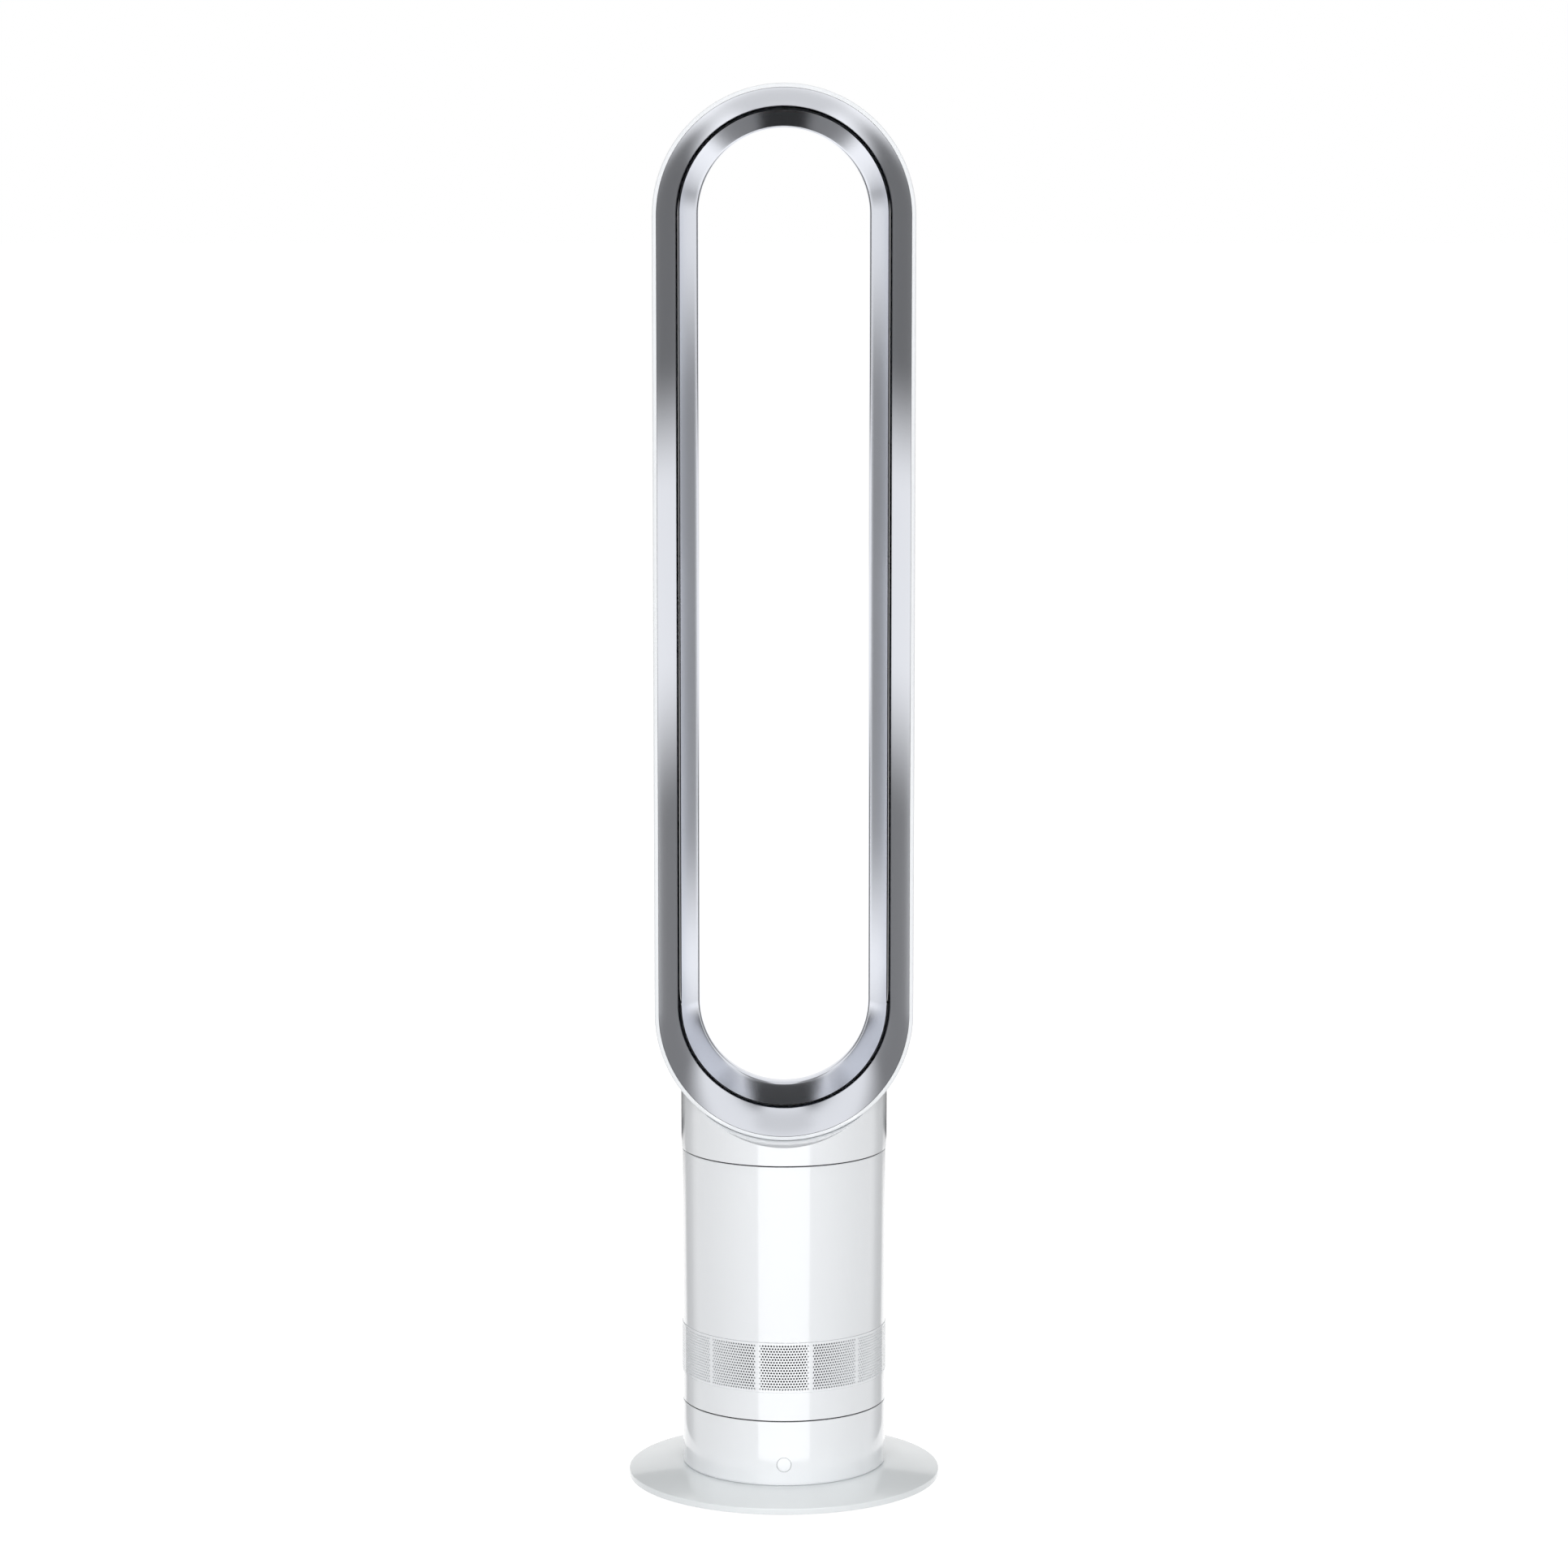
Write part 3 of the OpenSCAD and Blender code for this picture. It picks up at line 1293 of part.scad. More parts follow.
// Collar under the loop: round wall, saddle-shaped top skin, neck and locating ring
module collar() {
    tall = arc_z - collar_z;
    color(white_plastic)
        difference() {
            union() {
                difference() {
                    translate([0, 0, collar_z])
                        cylinder(r = collar_r, h = tall, $fn = round_fn);
                    saddle(saddle_r);
                    // hollow below the saddle's skin
                    difference() {
                        translate([0, 0, collar_z - over])
                            cylinder(r = collar_r - body_wall, h = tall + over, $fn = round_fn);
                        saddle(saddle_r + skin_t);
                    }
                }
                // neck that enters the loop
                difference() {
                    translate([0, 0, collar_z + loop_rise - skin_t])
                        linear_extrude(neck_h)
                            neck_outline(-neck_gap);
                    translate([0, 0, collar_z])
                        linear_extrude(loop_rise + neck_h + over)
                            neck_outline(-neck_gap - neck_wall);
                }
                // ring that drops into the main housing, with its lugs
                ring(collar_inner_r, collar_inner_r - collar_ring_wall, collar_z - collar_ring_h,
                     collar_ring_h + body_wall);
                ring(collar_r - body_wall / 2, collar_inner_r - collar_ring_wall, collar_z, body_wall);
                for (i = [0 : lug_count - 1])
                    rotate([0, 0, 360 * i / lug_count + lug_angle]) {
                        sector(lug_leg_r, lug_leg_r - lug_t, lug_ledge_z - part_gap - lug_t,
                               collar_ring_h + 2 * lug_t, lug_deg);
                        sector(collar_inner_r, lug_leg_r - lug_t, lug_ledge_z - part_gap - lug_t,
                               lug_t, lug_deg);
                    }
                // flat seats for the screw heads below the skin
                difference() {
                    for (sx = [-1, 1], sy = [-1, 1])
                        translate([sx * loop_screw_x, inlet_y + sy * loop_screw_y, loop_seat_z])
                            cylinder(r = boss_r, h = 4 * boss_r, $fn = small_fn);
                    saddle(saddle_r);
                }
            }
            translate([0, 0, collar_z])
                linear_extrude(loop_rise + neck_h + over)
                    neck_outline(-neck_gap - neck_wall);
            for (sx = [-1, 1], sy = [-1, 1])
                translate([sx * loop_screw_x, inlet_y + sy * loop_screw_y, collar_z])
                    cylinder(r = screw_r + part_gap, h = loop_r, $fn = small_fn);
        }
}

// Soft seal round the neck, on the inside of the outer shell
module loop_seal() {
    shell_in = loop_r - loop_wall;
    color(rubber_black)
        difference() {
            intersection() {
                translate([0, 0, collar_z])
                    linear_extrude(loop_r)
                        difference() {
                            neck_outline(seal_w);
                            neck_outline(part_gap);
                        }
                saddle(shell_in - shaft_gap);
            }
            saddle(shell_in - seal_t);
        }
}

module loop_screws() {
    color(steel)
        for (sx = [-1, 1], sy = [-1, 1])
            translate([sx * loop_screw_x, inlet_y + sy * loop_screw_y, loop_seat_z - screw_head_h])
                screw_up(loop_boss_h + skin_t + boss_r);
}

// Sweeps an outline round the racetrack (x: distance from its centre line, y: depth behind the front)
module racetrack() {
    translate([0, -loop_front, 0]) {
        for (s = [0, 1])
            mirror([s, 0, 0])
                translate([0, 0, arc_z])
                    linear_extrude(loop_straight)
                        children();
        translate([0, 0, loop_top_arc_z])
            half_turn()
                children();
        translate([0, 0, arc_z])
            rotate([0, 180, 0])
                half_turn()
                    children();
    }
}

// Half ring about the Y axis, upper half
module half_turn() {
    rotate([-90, 0, 0])
        mirror([0, 1, 0])
            rotate_extrude(angle = 180, $fn = round_fn)
                children();
}

// Outside line of the shell from the rounded front edge to the rear nose, drawn in by `in`
function shell_line(in) =
    let (v1 = loop_depth * shell_side_share,
         nose_v = loop_depth - in,
         bend = [loop_r - in, loop_depth * shell_shoulder_share])
    bend_points([loop_r - in, v1], bend, [nose_r + loop_wall, nose_v], shell_steps);

module outer_shell_outline() {
    outside = concat(
        [[loop_r - rim_w, 0]],
        arc_points(loop_r - rim_edge_r, rim_edge_r, rim_edge_r, -90, 0, 4),
        shell_line(0), [[nose_r, loop_depth]]);
    inside = concat(
        [[nose_r, loop_depth - loop_wall]],
        reverse(shell_line(loop_wall)),
        [[loop_r - loop_wall, rim_w + loop_wall], [loop_r - rim_w, rim_w]]);
    polygon(concat(outside, inside));
}

module outer_shell() {
    color(white_plastic)
        difference() {
            union() {
                racetrack()
                    outer_shell_outline();
                for (sx = [-1, 1], sy = [-1, 1])
                    translate([sx * loop_screw_x, inlet_y + sy * loop_screw_y, 0])
                        intersection() {
                            translate([0, 0, arc_z - loop_r])
                                cylinder(r = boss_r, h = loop_r / 2, $fn = small_fn);
                            translate([-sx * loop_screw_x, 0, 0])
                                difference() {
                                    saddle(loop_r - loop_wall / 2);
                                    saddle(loop_r - loop_wall - loop_boss_h);
                                }
                        }
            }
            translate([0, 0, arc_z - loop_r - over])
                linear_extrude(loop_r / 2)
                    neck_outline(0);
            for (sx = [-1, 1], sy = [-1, 1])
                translate([sx * loop_screw_x, inlet_y + sy * loop_screw_y, arc_z - loop_r])
                    cylinder(r = screw_r + shaft_gap, h = loop_r / 2 - loop_boss_h, $fn = small_fn);
        }
}

// Unit normal of a line of points, on the side that faces into the duct
function side_normal(p, i) =
    let (d = p[min(i + 1, len(p) - 1)] - p[max(i - 1, 0)])
    [d[1], -d[0]] / norm(d);

// The same line moved into the duct by t, in reverse order, from point `last` to point `first`
function duct_side(p, t, first, last) =
    [for (i = [last : -1 : first]) p[i] + t * side_normal(p, i)];

// Flared front wall: from the rim down to the slot, then a tail that guides the air
module front_flare_outline() {
    edge = [loop_r - rim_w - part_gap, flare_step];
    crest = [slot_r + slot_w / 2, slot_v];
    tail = [slot_r + slot_w + loop_wall, slot_v + 4 * loop_wall];
    bow = (edge + crest) / 2 + [flare_bow_share, flare_bow_share] * loop_wall;
    line = concat(bend_points(edge, bow, crest, flare_steps),
                  rest_of(bend_points(crest, crest + [-slot_w / 4, loop_wall], tail, tail_steps)));
    polygon(concat(line, duct_side(line, loop_wall * flare_wall_share, 2, len(line) - 1),
                   [[edge[0], rim_w + part_gap]]));
    // flange that seats on the shell's inner wall
    translate([loop_r - loop_wall - part_gap - flare_flange_w, rim_w + 2 * loop_wall])
        square([flare_flange_w, loop_wall * flare_wall_share]);
}

module front_flare() {
    color(silver)
        racetrack()
            front_flare_outline();
}

// Throat wall: lip at the slot, flat bevel, narrowest point, and the rear edge
module throat_outline() {
    lip = [slot_r - slot_w / 2, slot_v - loop_wall / 2];
    corner = [throat_r, slot_v + (throat_v - slot_v) * bevel_share];
    crest = [throat_r, throat_v];
    rear = [nose_r - part_gap, loop_depth];
    line = concat([lip], bend_points(lip + (corner - lip) * bevel_share, corner, crest, crest_steps),
                  rest_of(bend_points(crest, [throat_r, (throat_v + loop_depth) / 2], rear, throat_steps)));
    polygon(concat(line, [[rear[0], loop_depth - throat_edge_h]],
                   duct_side(line, loop_wall, 1, len(line) - 2),
                   [[lip[0], slot_v + lip_block_l]]));
}

// Small ribs behind the throat's lip that keep the slot at its width
module spacer_outline() {
    lip = slot_r - slot_w / 2;
    low_v = slot_v + spacer_v;
    polygon([[lip - loop_wall / 2, low_v + loop_wall],
             [lip - loop_wall / 2, low_v],
             [slot_r + slot_w / 2 - shaft_gap, low_v],
             [slot_r + slot_w, low_v + loop_wall]]);
}

// Upper arch of the throat: half ring, two short legs, ribs, and tongues behind the ends of the sides
module throat_arch() {
    translate([0, -loop_front, loop_top_arc_z]) {
        half_turn()
            throat_outline();
        for (i = [0 : arc_spacer_count + 1])
            rotate([0, -180 * i / (arc_spacer_count + 1), 0])
                translate([0, 0, -spacer_w / 2])
                    linear_extrude(spacer_w)
                        spacer_outline();
        for (s = [0, 1])
            mirror([s, 0, 0]) {
                translate([0, 0, -throat_leg_l])
                    linear_extrude(throat_leg_l)
                        throat_outline();
                translate([throat_r + loop_wall / 2, throat_v, -throat_leg_l])
                    cube([loop_wall, tongue_w, tongue_l]);
                translate([throat_r + loop_wall + tongue_gap, throat_v, -throat_leg_l - tongue_l])
                    cube([loop_wall, tongue_w, 2 * tongue_l]);
            }
    }
}

module throat_top() {
    color(silver)
        throat_arch();
}

module throat_bottom() {
    color(silver)
        translate([0, 0, arc_z + loop_top_arc_z])
            mirror([0, 0, 1])
                throat_arch();
}

// Straight sides of the throat, between the legs of its arches
module throat_sides() {
    low_z = arc_z + throat_leg_l + part_gap;
    side_l = loop_straight - 2 * throat_leg_l - 2 * part_gap;
    pitch = side_l / (spacer_count + 1);
    color(silver)
        translate([0, -loop_front, low_z])
            for (s = [0, 1])
                mirror([s, 0, 0]) {
                    linear_extrude(side_l)
                        throat_outline();
                    for (i = [1 : spacer_count])
                        translate([0, 0, i * pitch - spacer_w / 2])
                            linear_extrude(spacer_w)
                                spacer_outline();
                }
}

base_plate();
base_cover();
ballast_plate();
rubber_feet();
plate_screws();
lower_housing();
power_button();
switch_plunger();
tact_switch();
button_board();
control_board();
board_components();
dc_socket();
bearing_plate();
bearing_plate_screws();
spigot_bush();
glide_ring();
thrust_washer();
oscillation_motor();
motor_screws();
pinion_shaft();
drive_pinion();
turntable();
turntable_screws();
retaining_clip();
inlet_housing();
inlet_grille();
main_housing();
lower_foam();
upper_foam();
impeller_shroud();
shroud_mounts();
bucket_lower();
bucket_upper();
diffuser();
stator();
shaft_bearings();
bearing_bridge();
driver_board();
bucket_screws();
rotor();
motor_shaft();
impeller();
collar();
loop_seal();
loop_screws();
outer_shell();
front_flare();
throat_top();
throat_bottom();
throat_sides();
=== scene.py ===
"""Looks of a tall bladeless fan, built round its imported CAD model.

Sizes in the classes are millimetres, in the CAD model's own frame: +Z up the swivel axis,
-Y towards the front of the loop, +X to its right. Meshes are made in metres.
"""
import json
import logging
import math
from dataclasses import dataclass
from enum import Enum
from typing import Any, Callable, Iterable, Sequence

import bmesh
import bpy
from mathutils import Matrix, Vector


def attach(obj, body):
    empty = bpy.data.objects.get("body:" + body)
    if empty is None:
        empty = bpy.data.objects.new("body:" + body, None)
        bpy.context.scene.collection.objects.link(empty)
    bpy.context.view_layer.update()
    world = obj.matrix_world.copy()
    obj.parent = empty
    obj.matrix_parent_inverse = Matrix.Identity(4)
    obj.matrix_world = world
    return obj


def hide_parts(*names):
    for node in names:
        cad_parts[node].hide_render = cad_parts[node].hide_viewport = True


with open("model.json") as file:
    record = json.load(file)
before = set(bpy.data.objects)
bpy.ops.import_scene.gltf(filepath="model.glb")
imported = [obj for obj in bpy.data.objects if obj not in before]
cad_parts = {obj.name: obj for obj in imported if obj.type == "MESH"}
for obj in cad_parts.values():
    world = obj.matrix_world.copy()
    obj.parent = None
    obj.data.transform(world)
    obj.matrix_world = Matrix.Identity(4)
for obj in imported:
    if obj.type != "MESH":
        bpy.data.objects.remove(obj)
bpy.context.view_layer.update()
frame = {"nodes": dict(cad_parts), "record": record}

LOG = logging.getLogger("fan")
MM = 0.001
MERGE = 2e-6  # metres within which vertices merge
SHARP = 28.0  # degrees above which edges stay sharp
COPY_SHARP = 30.0  # the same, for copies of CAD nodes
SEAM = 1.0  # height of the shadow gaps
SHADE_RING_IN, SHADE_RING_OUT = 72.15, 73.75  # radii of the dark rings in them, which paint the gaps' shade darker
SHADE_RING_EASE = 0.04  # between a dark ring and the walls above and below it
ROUND_SLOPE = 0.05  # most that a face of a round wall leans up or down
ROUND_LEAN = 0.985  # least that it faces away from the axis
COAT_ROUGH = 0.03
PLASTIC_IOR = 1.46
DRIFT_SCALE = 9.0  # patches per metre in which colour and roughness drift
BRUSH_STRETCH = (1.0, 1.0, 14.0)
MIX_A, MIX_B, MIX_RESULT = 6, 7, 2  # colour sockets of a Mix node
WHITE = (1.0, 1.0, 1.0, 1.0)
BODY_R, INNER_R = 74.4, 72.0  # outer and inner radius of the housings' walls
EDGE = 0.45  # round of their rims
LOOP_LOW = 353.95  # height of the loop's lower arc centre
NECK_HALF, NECK_Y = 12.0, -1.0  # the neck's half distance between arcs, and its middle
Pair = tuple[float, float]
Point = tuple[float, float, float]


class Body(Enum):
    """Moving groups of the CAD model."""

    BASE = "base"
    BUTTON = "button"
    TOWER = "tower"


class Slot(Enum):
    """Material slots of the record."""

    WHITE = "white_plastic"
    SILVER = "silver_loop"
    PLATE = "plate_plastic"
    DARK = "dark_plastic"
    RUBBER = "rubber"
    STEEL = "steel"
    ACETAL = "acetal"
    BOARD = "board"
    PARTS = "components"
    FOAM = "foam"
    MOTOR = "motor_steel"


class Surface(Enum):
    """What a finish is made of, which picks its grain."""

    MOULDED = "moulded"
    BRUSHED = "brushed"
    CELLS = "cells"
    BOARD = "board"


# ---------------------------------------------------------------- shader maths
class Wire:
    """An output socket that Python's operators join to Math nodes."""

    def __init__(self, bench: "Bench", socket: Any) -> None:
        """Keeps the socket and the bench whose tree holds it."""
        self.bench = bench
        self.socket = socket

    def to(self, operation: str, other: Any = 0.0, after: bool = False) -> "Wire":
        """Result of a Math node.

        Args:
            operation: the node's operation.
            other: a wire or a number, for operations that take two.
            after: whether this wire is the second of the two.

        Returns:
            The node's result.
        """
        pair = (other, self) if after else (self, other)
        return self.bench.node("ShaderNodeMath", dict(enumerate(pair)), operation=operation)

    def beside(self, output: str) -> "Wire":
        """Another output of the same node."""
        return Wire(self.bench, self.socket.node.outputs[output])

    def __add__(self, other: Any) -> "Wire":
        """Sum with a wire or a number."""
        return self.to("ADD", other)

    def __sub__(self, other: Any) -> "Wire":
        """Difference with a wire or a number."""
        return self.to("SUBTRACT", other)

    def __rsub__(self, other: float) -> "Wire":
        """A number minus this wire."""
        return self.to("SUBTRACT", other, True)

    def __mul__(self, other: Any) -> "Wire":
        """Product with a wire or a number."""
        return self.to("MULTIPLY", other)

    def __truediv__(self, other: Any) -> "Wire":
        """Quotient with a wire or a number."""
        return self.to("DIVIDE", other)

    __radd__, __rmul__ = __add__, __mul__


class Bench:
    """Builds the node tree of one material or world."""

    def __init__(self, tree: Any) -> None:
        """Clears the tree to build in."""
        self.tree = tree
        tree.nodes.clear()

    def node(self, kind: str, sockets: dict[Any, Any] | None = None, output: Any = 0, **settings: Any) -> Wire:
        """Adds a node: settings first, then the values or links of its sockets.

        Args:
            kind: the node's type.
            sockets: input names or numbers, with values or wires.
            output: name or number of the output that is returned.
            settings: attributes to set.

        Returns:
            The wire that leaves the node, or a wire with no socket where it has no output.
        """
        node = self.tree.nodes.new(kind)
        for key, value in settings.items():
            setattr(node, key, value)
        for key, value in (sockets or {}).items():
            if isinstance(value, Wire):
                self.tree.links.new(value.socket, node.inputs[key])
            else:
                node.inputs[key].default_value = value
        return Wire(self, node.outputs[output] if len(node.outputs) else None)


def new_material(name: str) -> tuple[bpy.types.Material, Bench]:
    """Starts a material and the bench of its empty tree."""
    mat = bpy.data.materials.new(name)
    mat.use_nodes = True
    return mat, Bench(mat.node_tree)


def seen_directly(bench: Bench) -> Wire:
    """1 for camera, glossy and transmission rays, and 0 for those that only light other surfaces."""
    path = bench.node("ShaderNodeLightPath", output="Is Camera Ray")
    return bench.node("ShaderNodeMath", {0: path + path.beside("Is Glossy Ray"),
                                         1: path.beside("Is Transmission Ray")}, operation="ADD", use_clamp=True)


@dataclass(frozen=True)
class Finish:
    """One finish, as a procedural material on Object coordinates.

    Args:
        slot: the record's slot that it dresses.
        colour: base colour, linear.
        rough: mean roughness.
        surface: what it is made of.
        metallic: metallic share.
        coat: weight of the clear top coat.
        grain: grains per metre of the fine relief.
        relief: depth of the fine relief, in metres.
        mottle: share by which the colour drifts over the surface.
        drift: share by which the roughness drifts.
        shine: level of its plain reflection, 0.5 for a smooth plastic.
    """

    slot: Slot
    colour: Point
    rough: float
    surface: Surface = Surface.MOULDED
    metallic: float = 0.0
    coat: float = 0.0
    grain: float = 900.0
    relief: float = 4e-6
    mottle: float = 0.01
    drift: float = 0.12
    shine: float = 0.5

    def grain_height(self, bench: Bench, place: Wire) -> Wire:
        """Fine relief of the surface at these Object coordinates, from 0 to 1."""
        if self.surface is Surface.CELLS:
            return bench.node("ShaderNodeTexVoronoi", {"Vector": place, "Scale": self.grain, "Smoothness": 0.4},
                              "Distance", feature="SMOOTH_F1")
        if self.surface is Surface.BRUSHED:
            place = bench.node("ShaderNodeMapping", {"Vector": place, "Scale": BRUSH_STRETCH})
        if self.surface is Surface.BOARD:
            return bench.node("ShaderNodeTexBrick", {"Vector": place, "Scale": self.grain / 4}, "Fac")
        return bench.node("ShaderNodeTexNoise", {"Vector": place, "Scale": self.grain}, "Fac")

    def material(self) -> bpy.types.Material:
        """Builds the material, named after its slot."""
        mat, bench = new_material(self.slot.value)
        place = bench.node("ShaderNodeTexCoord", output="Object")
        slow = bench.node("ShaderNodeTexNoise", {"Vector": place, "Scale": DRIFT_SCALE, "Detail": 3.0}, "Fac")
        height = self.grain_height(bench, place)
        shade = [c * (1 - self.mottle) for c in self.colour]
        colour = bench.node("ShaderNodeMix", {"Factor": slow, MIX_A: (*shade, 1.0), MIX_B: (*self.colour, 1.0)},
                            MIX_RESULT, data_type="RGBA")
        rough = self.rough * (1 - self.drift / 2) + (slow + height) * (self.rough * self.drift / 2)
        bump = bench.node("ShaderNodeBump", {"Height": height, "Distance": self.relief, "Strength": 1.0})
        shader = bench.node(
            "ShaderNodeBsdfPrincipled",
            {"Base Color": colour, "Roughness": rough, "Metallic": self.metallic, "Normal": bump,
             "Coat Weight": self.coat, "Coat Roughness": COAT_ROUGH, "IOR": PLASTIC_IOR,
             "Specular IOR Level": self.shine})
        bench.node("ShaderNodeOutputMaterial", {"Surface": shader})
        return mat


FINISHES = (
    Finish(Slot.WHITE, (0.86, 0.88, 0.90), 0.16, coat=0.8, grain=1400.0, relief=1.2e-6, mottle=0.006),
    Finish(Slot.SILVER, (0.725, 0.745, 0.80), 0.14, metallic=1.0, grain=2600.0, relief=0.8e-6, mottle=0.02),
    Finish(Slot.PLATE, (0.86, 0.89, 0.90), 0.20, coat=0.35, grain=1400.0, relief=1.2e-6, mottle=0.006),
    Finish(Slot.DARK, (0.022, 0.024, 0.027), 0.55, grain=2200.0, relief=2e-5, drift=0.2),
    # Also dresses the dark rings in the shadow gaps, which are painted shade.
    Finish(Slot.RUBBER, (0.012, 0.012, 0.013), 0.75, grain=2600.0, relief=3e-5, drift=0.2),
    Finish(Slot.STEEL, (0.56, 0.57, 0.58), 0.32, Surface.BRUSHED, metallic=1.0, grain=700.0, relief=5e-6,
           mottle=0.05),
    Finish(Slot.ACETAL, (0.72, 0.69, 0.62), 0.42, grain=1200.0, relief=8e-6),
    Finish(Slot.BOARD, (0.012, 0.10, 0.035), 0.38, Surface.BOARD, grain=1100.0, relief=2e-5, mottle=0.3),
    Finish(Slot.PARTS, (0.018, 0.018, 0.02), 0.5, grain=2000.0, relief=1.5e-5),
    # Near-black with no plain reflection; it also dresses the screen that paints the shade behind the grille's
    # holes.
    Finish(Slot.FOAM, (0.014, 0.015, 0.016), 0.95, Surface.CELLS, grain=900.0, relief=6e-4, mottle=0.3,
           shine=0.0),
    Finish(Slot.MOTOR, (0.34, 0.35, 0.37), 0.4, Surface.BRUSHED, metallic=1.0, grain=500.0, relief=2e-5,
           mottle=0.1),
)


# ---------------------------------------------------------------- mesh helpers
def circle(count: int) -> list[Pair]:
    """Cosines and sines of evenly spaced directions round a circle."""
    return [(math.cos(2 * math.pi * k / count), math.sin(2 * math.pi * k / count)) for k in range(count)]


def box(x0: float, y0: float, x1: float, y1: float) -> list[Pair]:
    """Corners of a rectangle."""
    return [(x0, y0), (x1, y0), (x1, y1), (x0, y1)]


def bend(a: Pair, c: Pair, b: Pair, steps: int) -> list[Pair]:
    """Points on a quadratic curve.

    Args:
        a: first end.
        c: control point.
        b: last end.
        steps: number of spans.

    Returns:
        steps + 1 points.
    """
    out = []
    for i in range(steps + 1):
        t = i / steps
        out.append(tuple((1 - t) ** 2 * p + 2 * t * (1 - t) * q + t * t * r for p, q, r in zip(a, c, b)))
    return out


def rounded(corners: Sequence[tuple[float, float, float]], steps: int = 4) -> list[Pair]:
    """A closed outline with its corners rounded.

    Args:
        corners: x, y and edge radius of each corner.
        steps: spans in each round.

    Returns:
        The outline's points.
    """
    out: list[Pair] = []
    count = len(corners)
    for i, (x, y, r) in enumerate(corners):
        if r <= 0:
            out.append((x, y))
            continue
        here = Vector((x, y))
        before = Vector(corners[i - 1][:2]) - here
        after = Vector(corners[(i + 1) % count][:2]) - here
        half = before.angle(after) / 2
        reach = r / math.tan(half)
        centre = here + (before.normalized() + after.normalized()).normalized() * (r / math.sin(half))
        start = here + before.normalized() * reach - centre
        end = here + after.normalized() * reach - centre
        sweep = math.pi - 2 * half
        sign = 1.0 if start.x * end.y - start.y * end.x > 0 else -1.0
        for k in range(steps + 1):
            a = sign * sweep * k / steps
            out.append((centre.x + start.x * math.cos(a) - start.y * math.sin(a),
                        centre.y + start.x * math.sin(a) + start.y * math.cos(a)))
    return out


def offset_side(line: Sequence[Pair], distance: float, first: int, last: int) -> list[Pair]:
    """A line moved to its right-hand side, in reverse order.

    Args:
        line: the points.
        distance: how far it moves.
        first: first index kept.
        last: last index kept.

    Returns:
        The moved points from `last` back to `first`.
    """
    out = []
    for i in range(last, first - 1, -1):
        p, q = line[max(i - 1, 0)], line[min(i + 1, len(line) - 1)]
        dx, dy = q[0] - p[0], q[1] - p[1]
        size = math.hypot(dx, dy)
        out.append((line[i][0] + distance * dy / size, line[i][1] - distance * dx / size))
    return out


def add_object(name: str, data: Any) -> bpy.types.Object:
    """Puts a new object with this mesh, lamp or camera at the scene's origin."""
    made = bpy.data.objects.new(name, data)
    bpy.context.scene.collection.objects.link(made)
    return made


def to_mesh(bm: bmesh.types.BMesh, name: str) -> bpy.types.Mesh:
    """Turns a bmesh into a mesh and frees it."""
    mesh = bpy.data.meshes.new(name)
    bm.to_mesh(mesh)
    bm.free()
    return mesh


def to_object(bm: bmesh.types.BMesh, name: str, angle: float = SHARP, outward: bool = True) -> bpy.types.Object:
    """Turns a bmesh into a smooth-shaded object at the origin.

    Args:
        bm: the mesh, freed here.
        name: the object's name.
        angle: edges sharper than this, in degrees, stay sharp.
        outward: whether the normals are recalculated.

    Returns:
        The object.
    """
    bmesh.ops.remove_doubles(bm, verts=bm.verts, dist=MERGE)
    if outward:
        bmesh.ops.recalc_face_normals(bm, faces=bm.faces)
    mesh = to_mesh(bm, name)
    mesh.shade_smooth()
    mesh.set_sharp_from_angle(angle=math.radians(angle))
    return add_object(name, mesh)


def skin(bm: bmesh.types.BMesh, near: Sequence[bmesh.types.BMVert], far: Sequence[bmesh.types.BMVert],
         closed: bool = True) -> None:
    """Joins two equally long rows of vertices with quads.

    Args:
        bm: the mesh.
        near: the first row.
        far: the second row.
        closed: whether the rows are rings.
    """
    count = len(near)
    for k in range(count if closed else count - 1):
        m = (k + 1) % count
        bm.faces.new((near[k], near[m], far[m], far[k]))


def loft(name: str, rings: Sequence[Sequence[Point]], closed: bool = True,
         angle: float = SHARP) -> bpy.types.Object:
    """Joins closed rings of points, in millimetres, into one skin.

    Args:
        name: the object's name.
        rings: equally long rings.
        closed: whether the last ring joins the first.
        angle: edges sharper than this stay sharp.

    Returns:
        The object.
    """
    bm = bmesh.new()
    grid = [[bm.verts.new(Vector(p) * MM) for p in ring] for ring in rings]
    for near, far in zip(grid, grid[1:] + grid[:1] if closed else grid[1:]):
        skin(bm, near, far)
    return to_object(bm, name, angle)


def turned(name: str, outline: Sequence[Pair], count: int = 256) -> bpy.types.Object:
    """Solid of revolution about Z.

    Args:
        name: the object's name.
        outline: closed outline of radius and height.
        count: spans round the axis.

    Returns:
        The object.
    """
    return loft(name, [[(r * c, r * s, z) for c, s in circle(count)] for r, z in outline])


def cut(piece: bpy.types.Object, cutters: Iterable[bpy.types.Object], angle: float = SHARP) -> None:
    """Takes cutters out of a piece and removes them.

    Args:
        piece: the piece that is cut.
        cutters: closed objects.
        angle: edges sharper than this stay sharp.
    """
    for cutter in cutters:
        step = piece.modifiers.new("cut", "BOOLEAN")
        step.operation = "DIFFERENCE"
        step.solver = "EXACT"
        step.object = cutter
        depsgraph = bpy.context.evaluated_depsgraph_get()
        mesh = bpy.data.meshes.new_from_object(piece.evaluated_get(depsgraph))
        piece.modifiers.clear()
        piece.data = mesh
        bpy.data.objects.remove(cutter)
    piece.data.shade_smooth()
    piece.data.set_sharp_from_angle(angle=math.radians(angle))


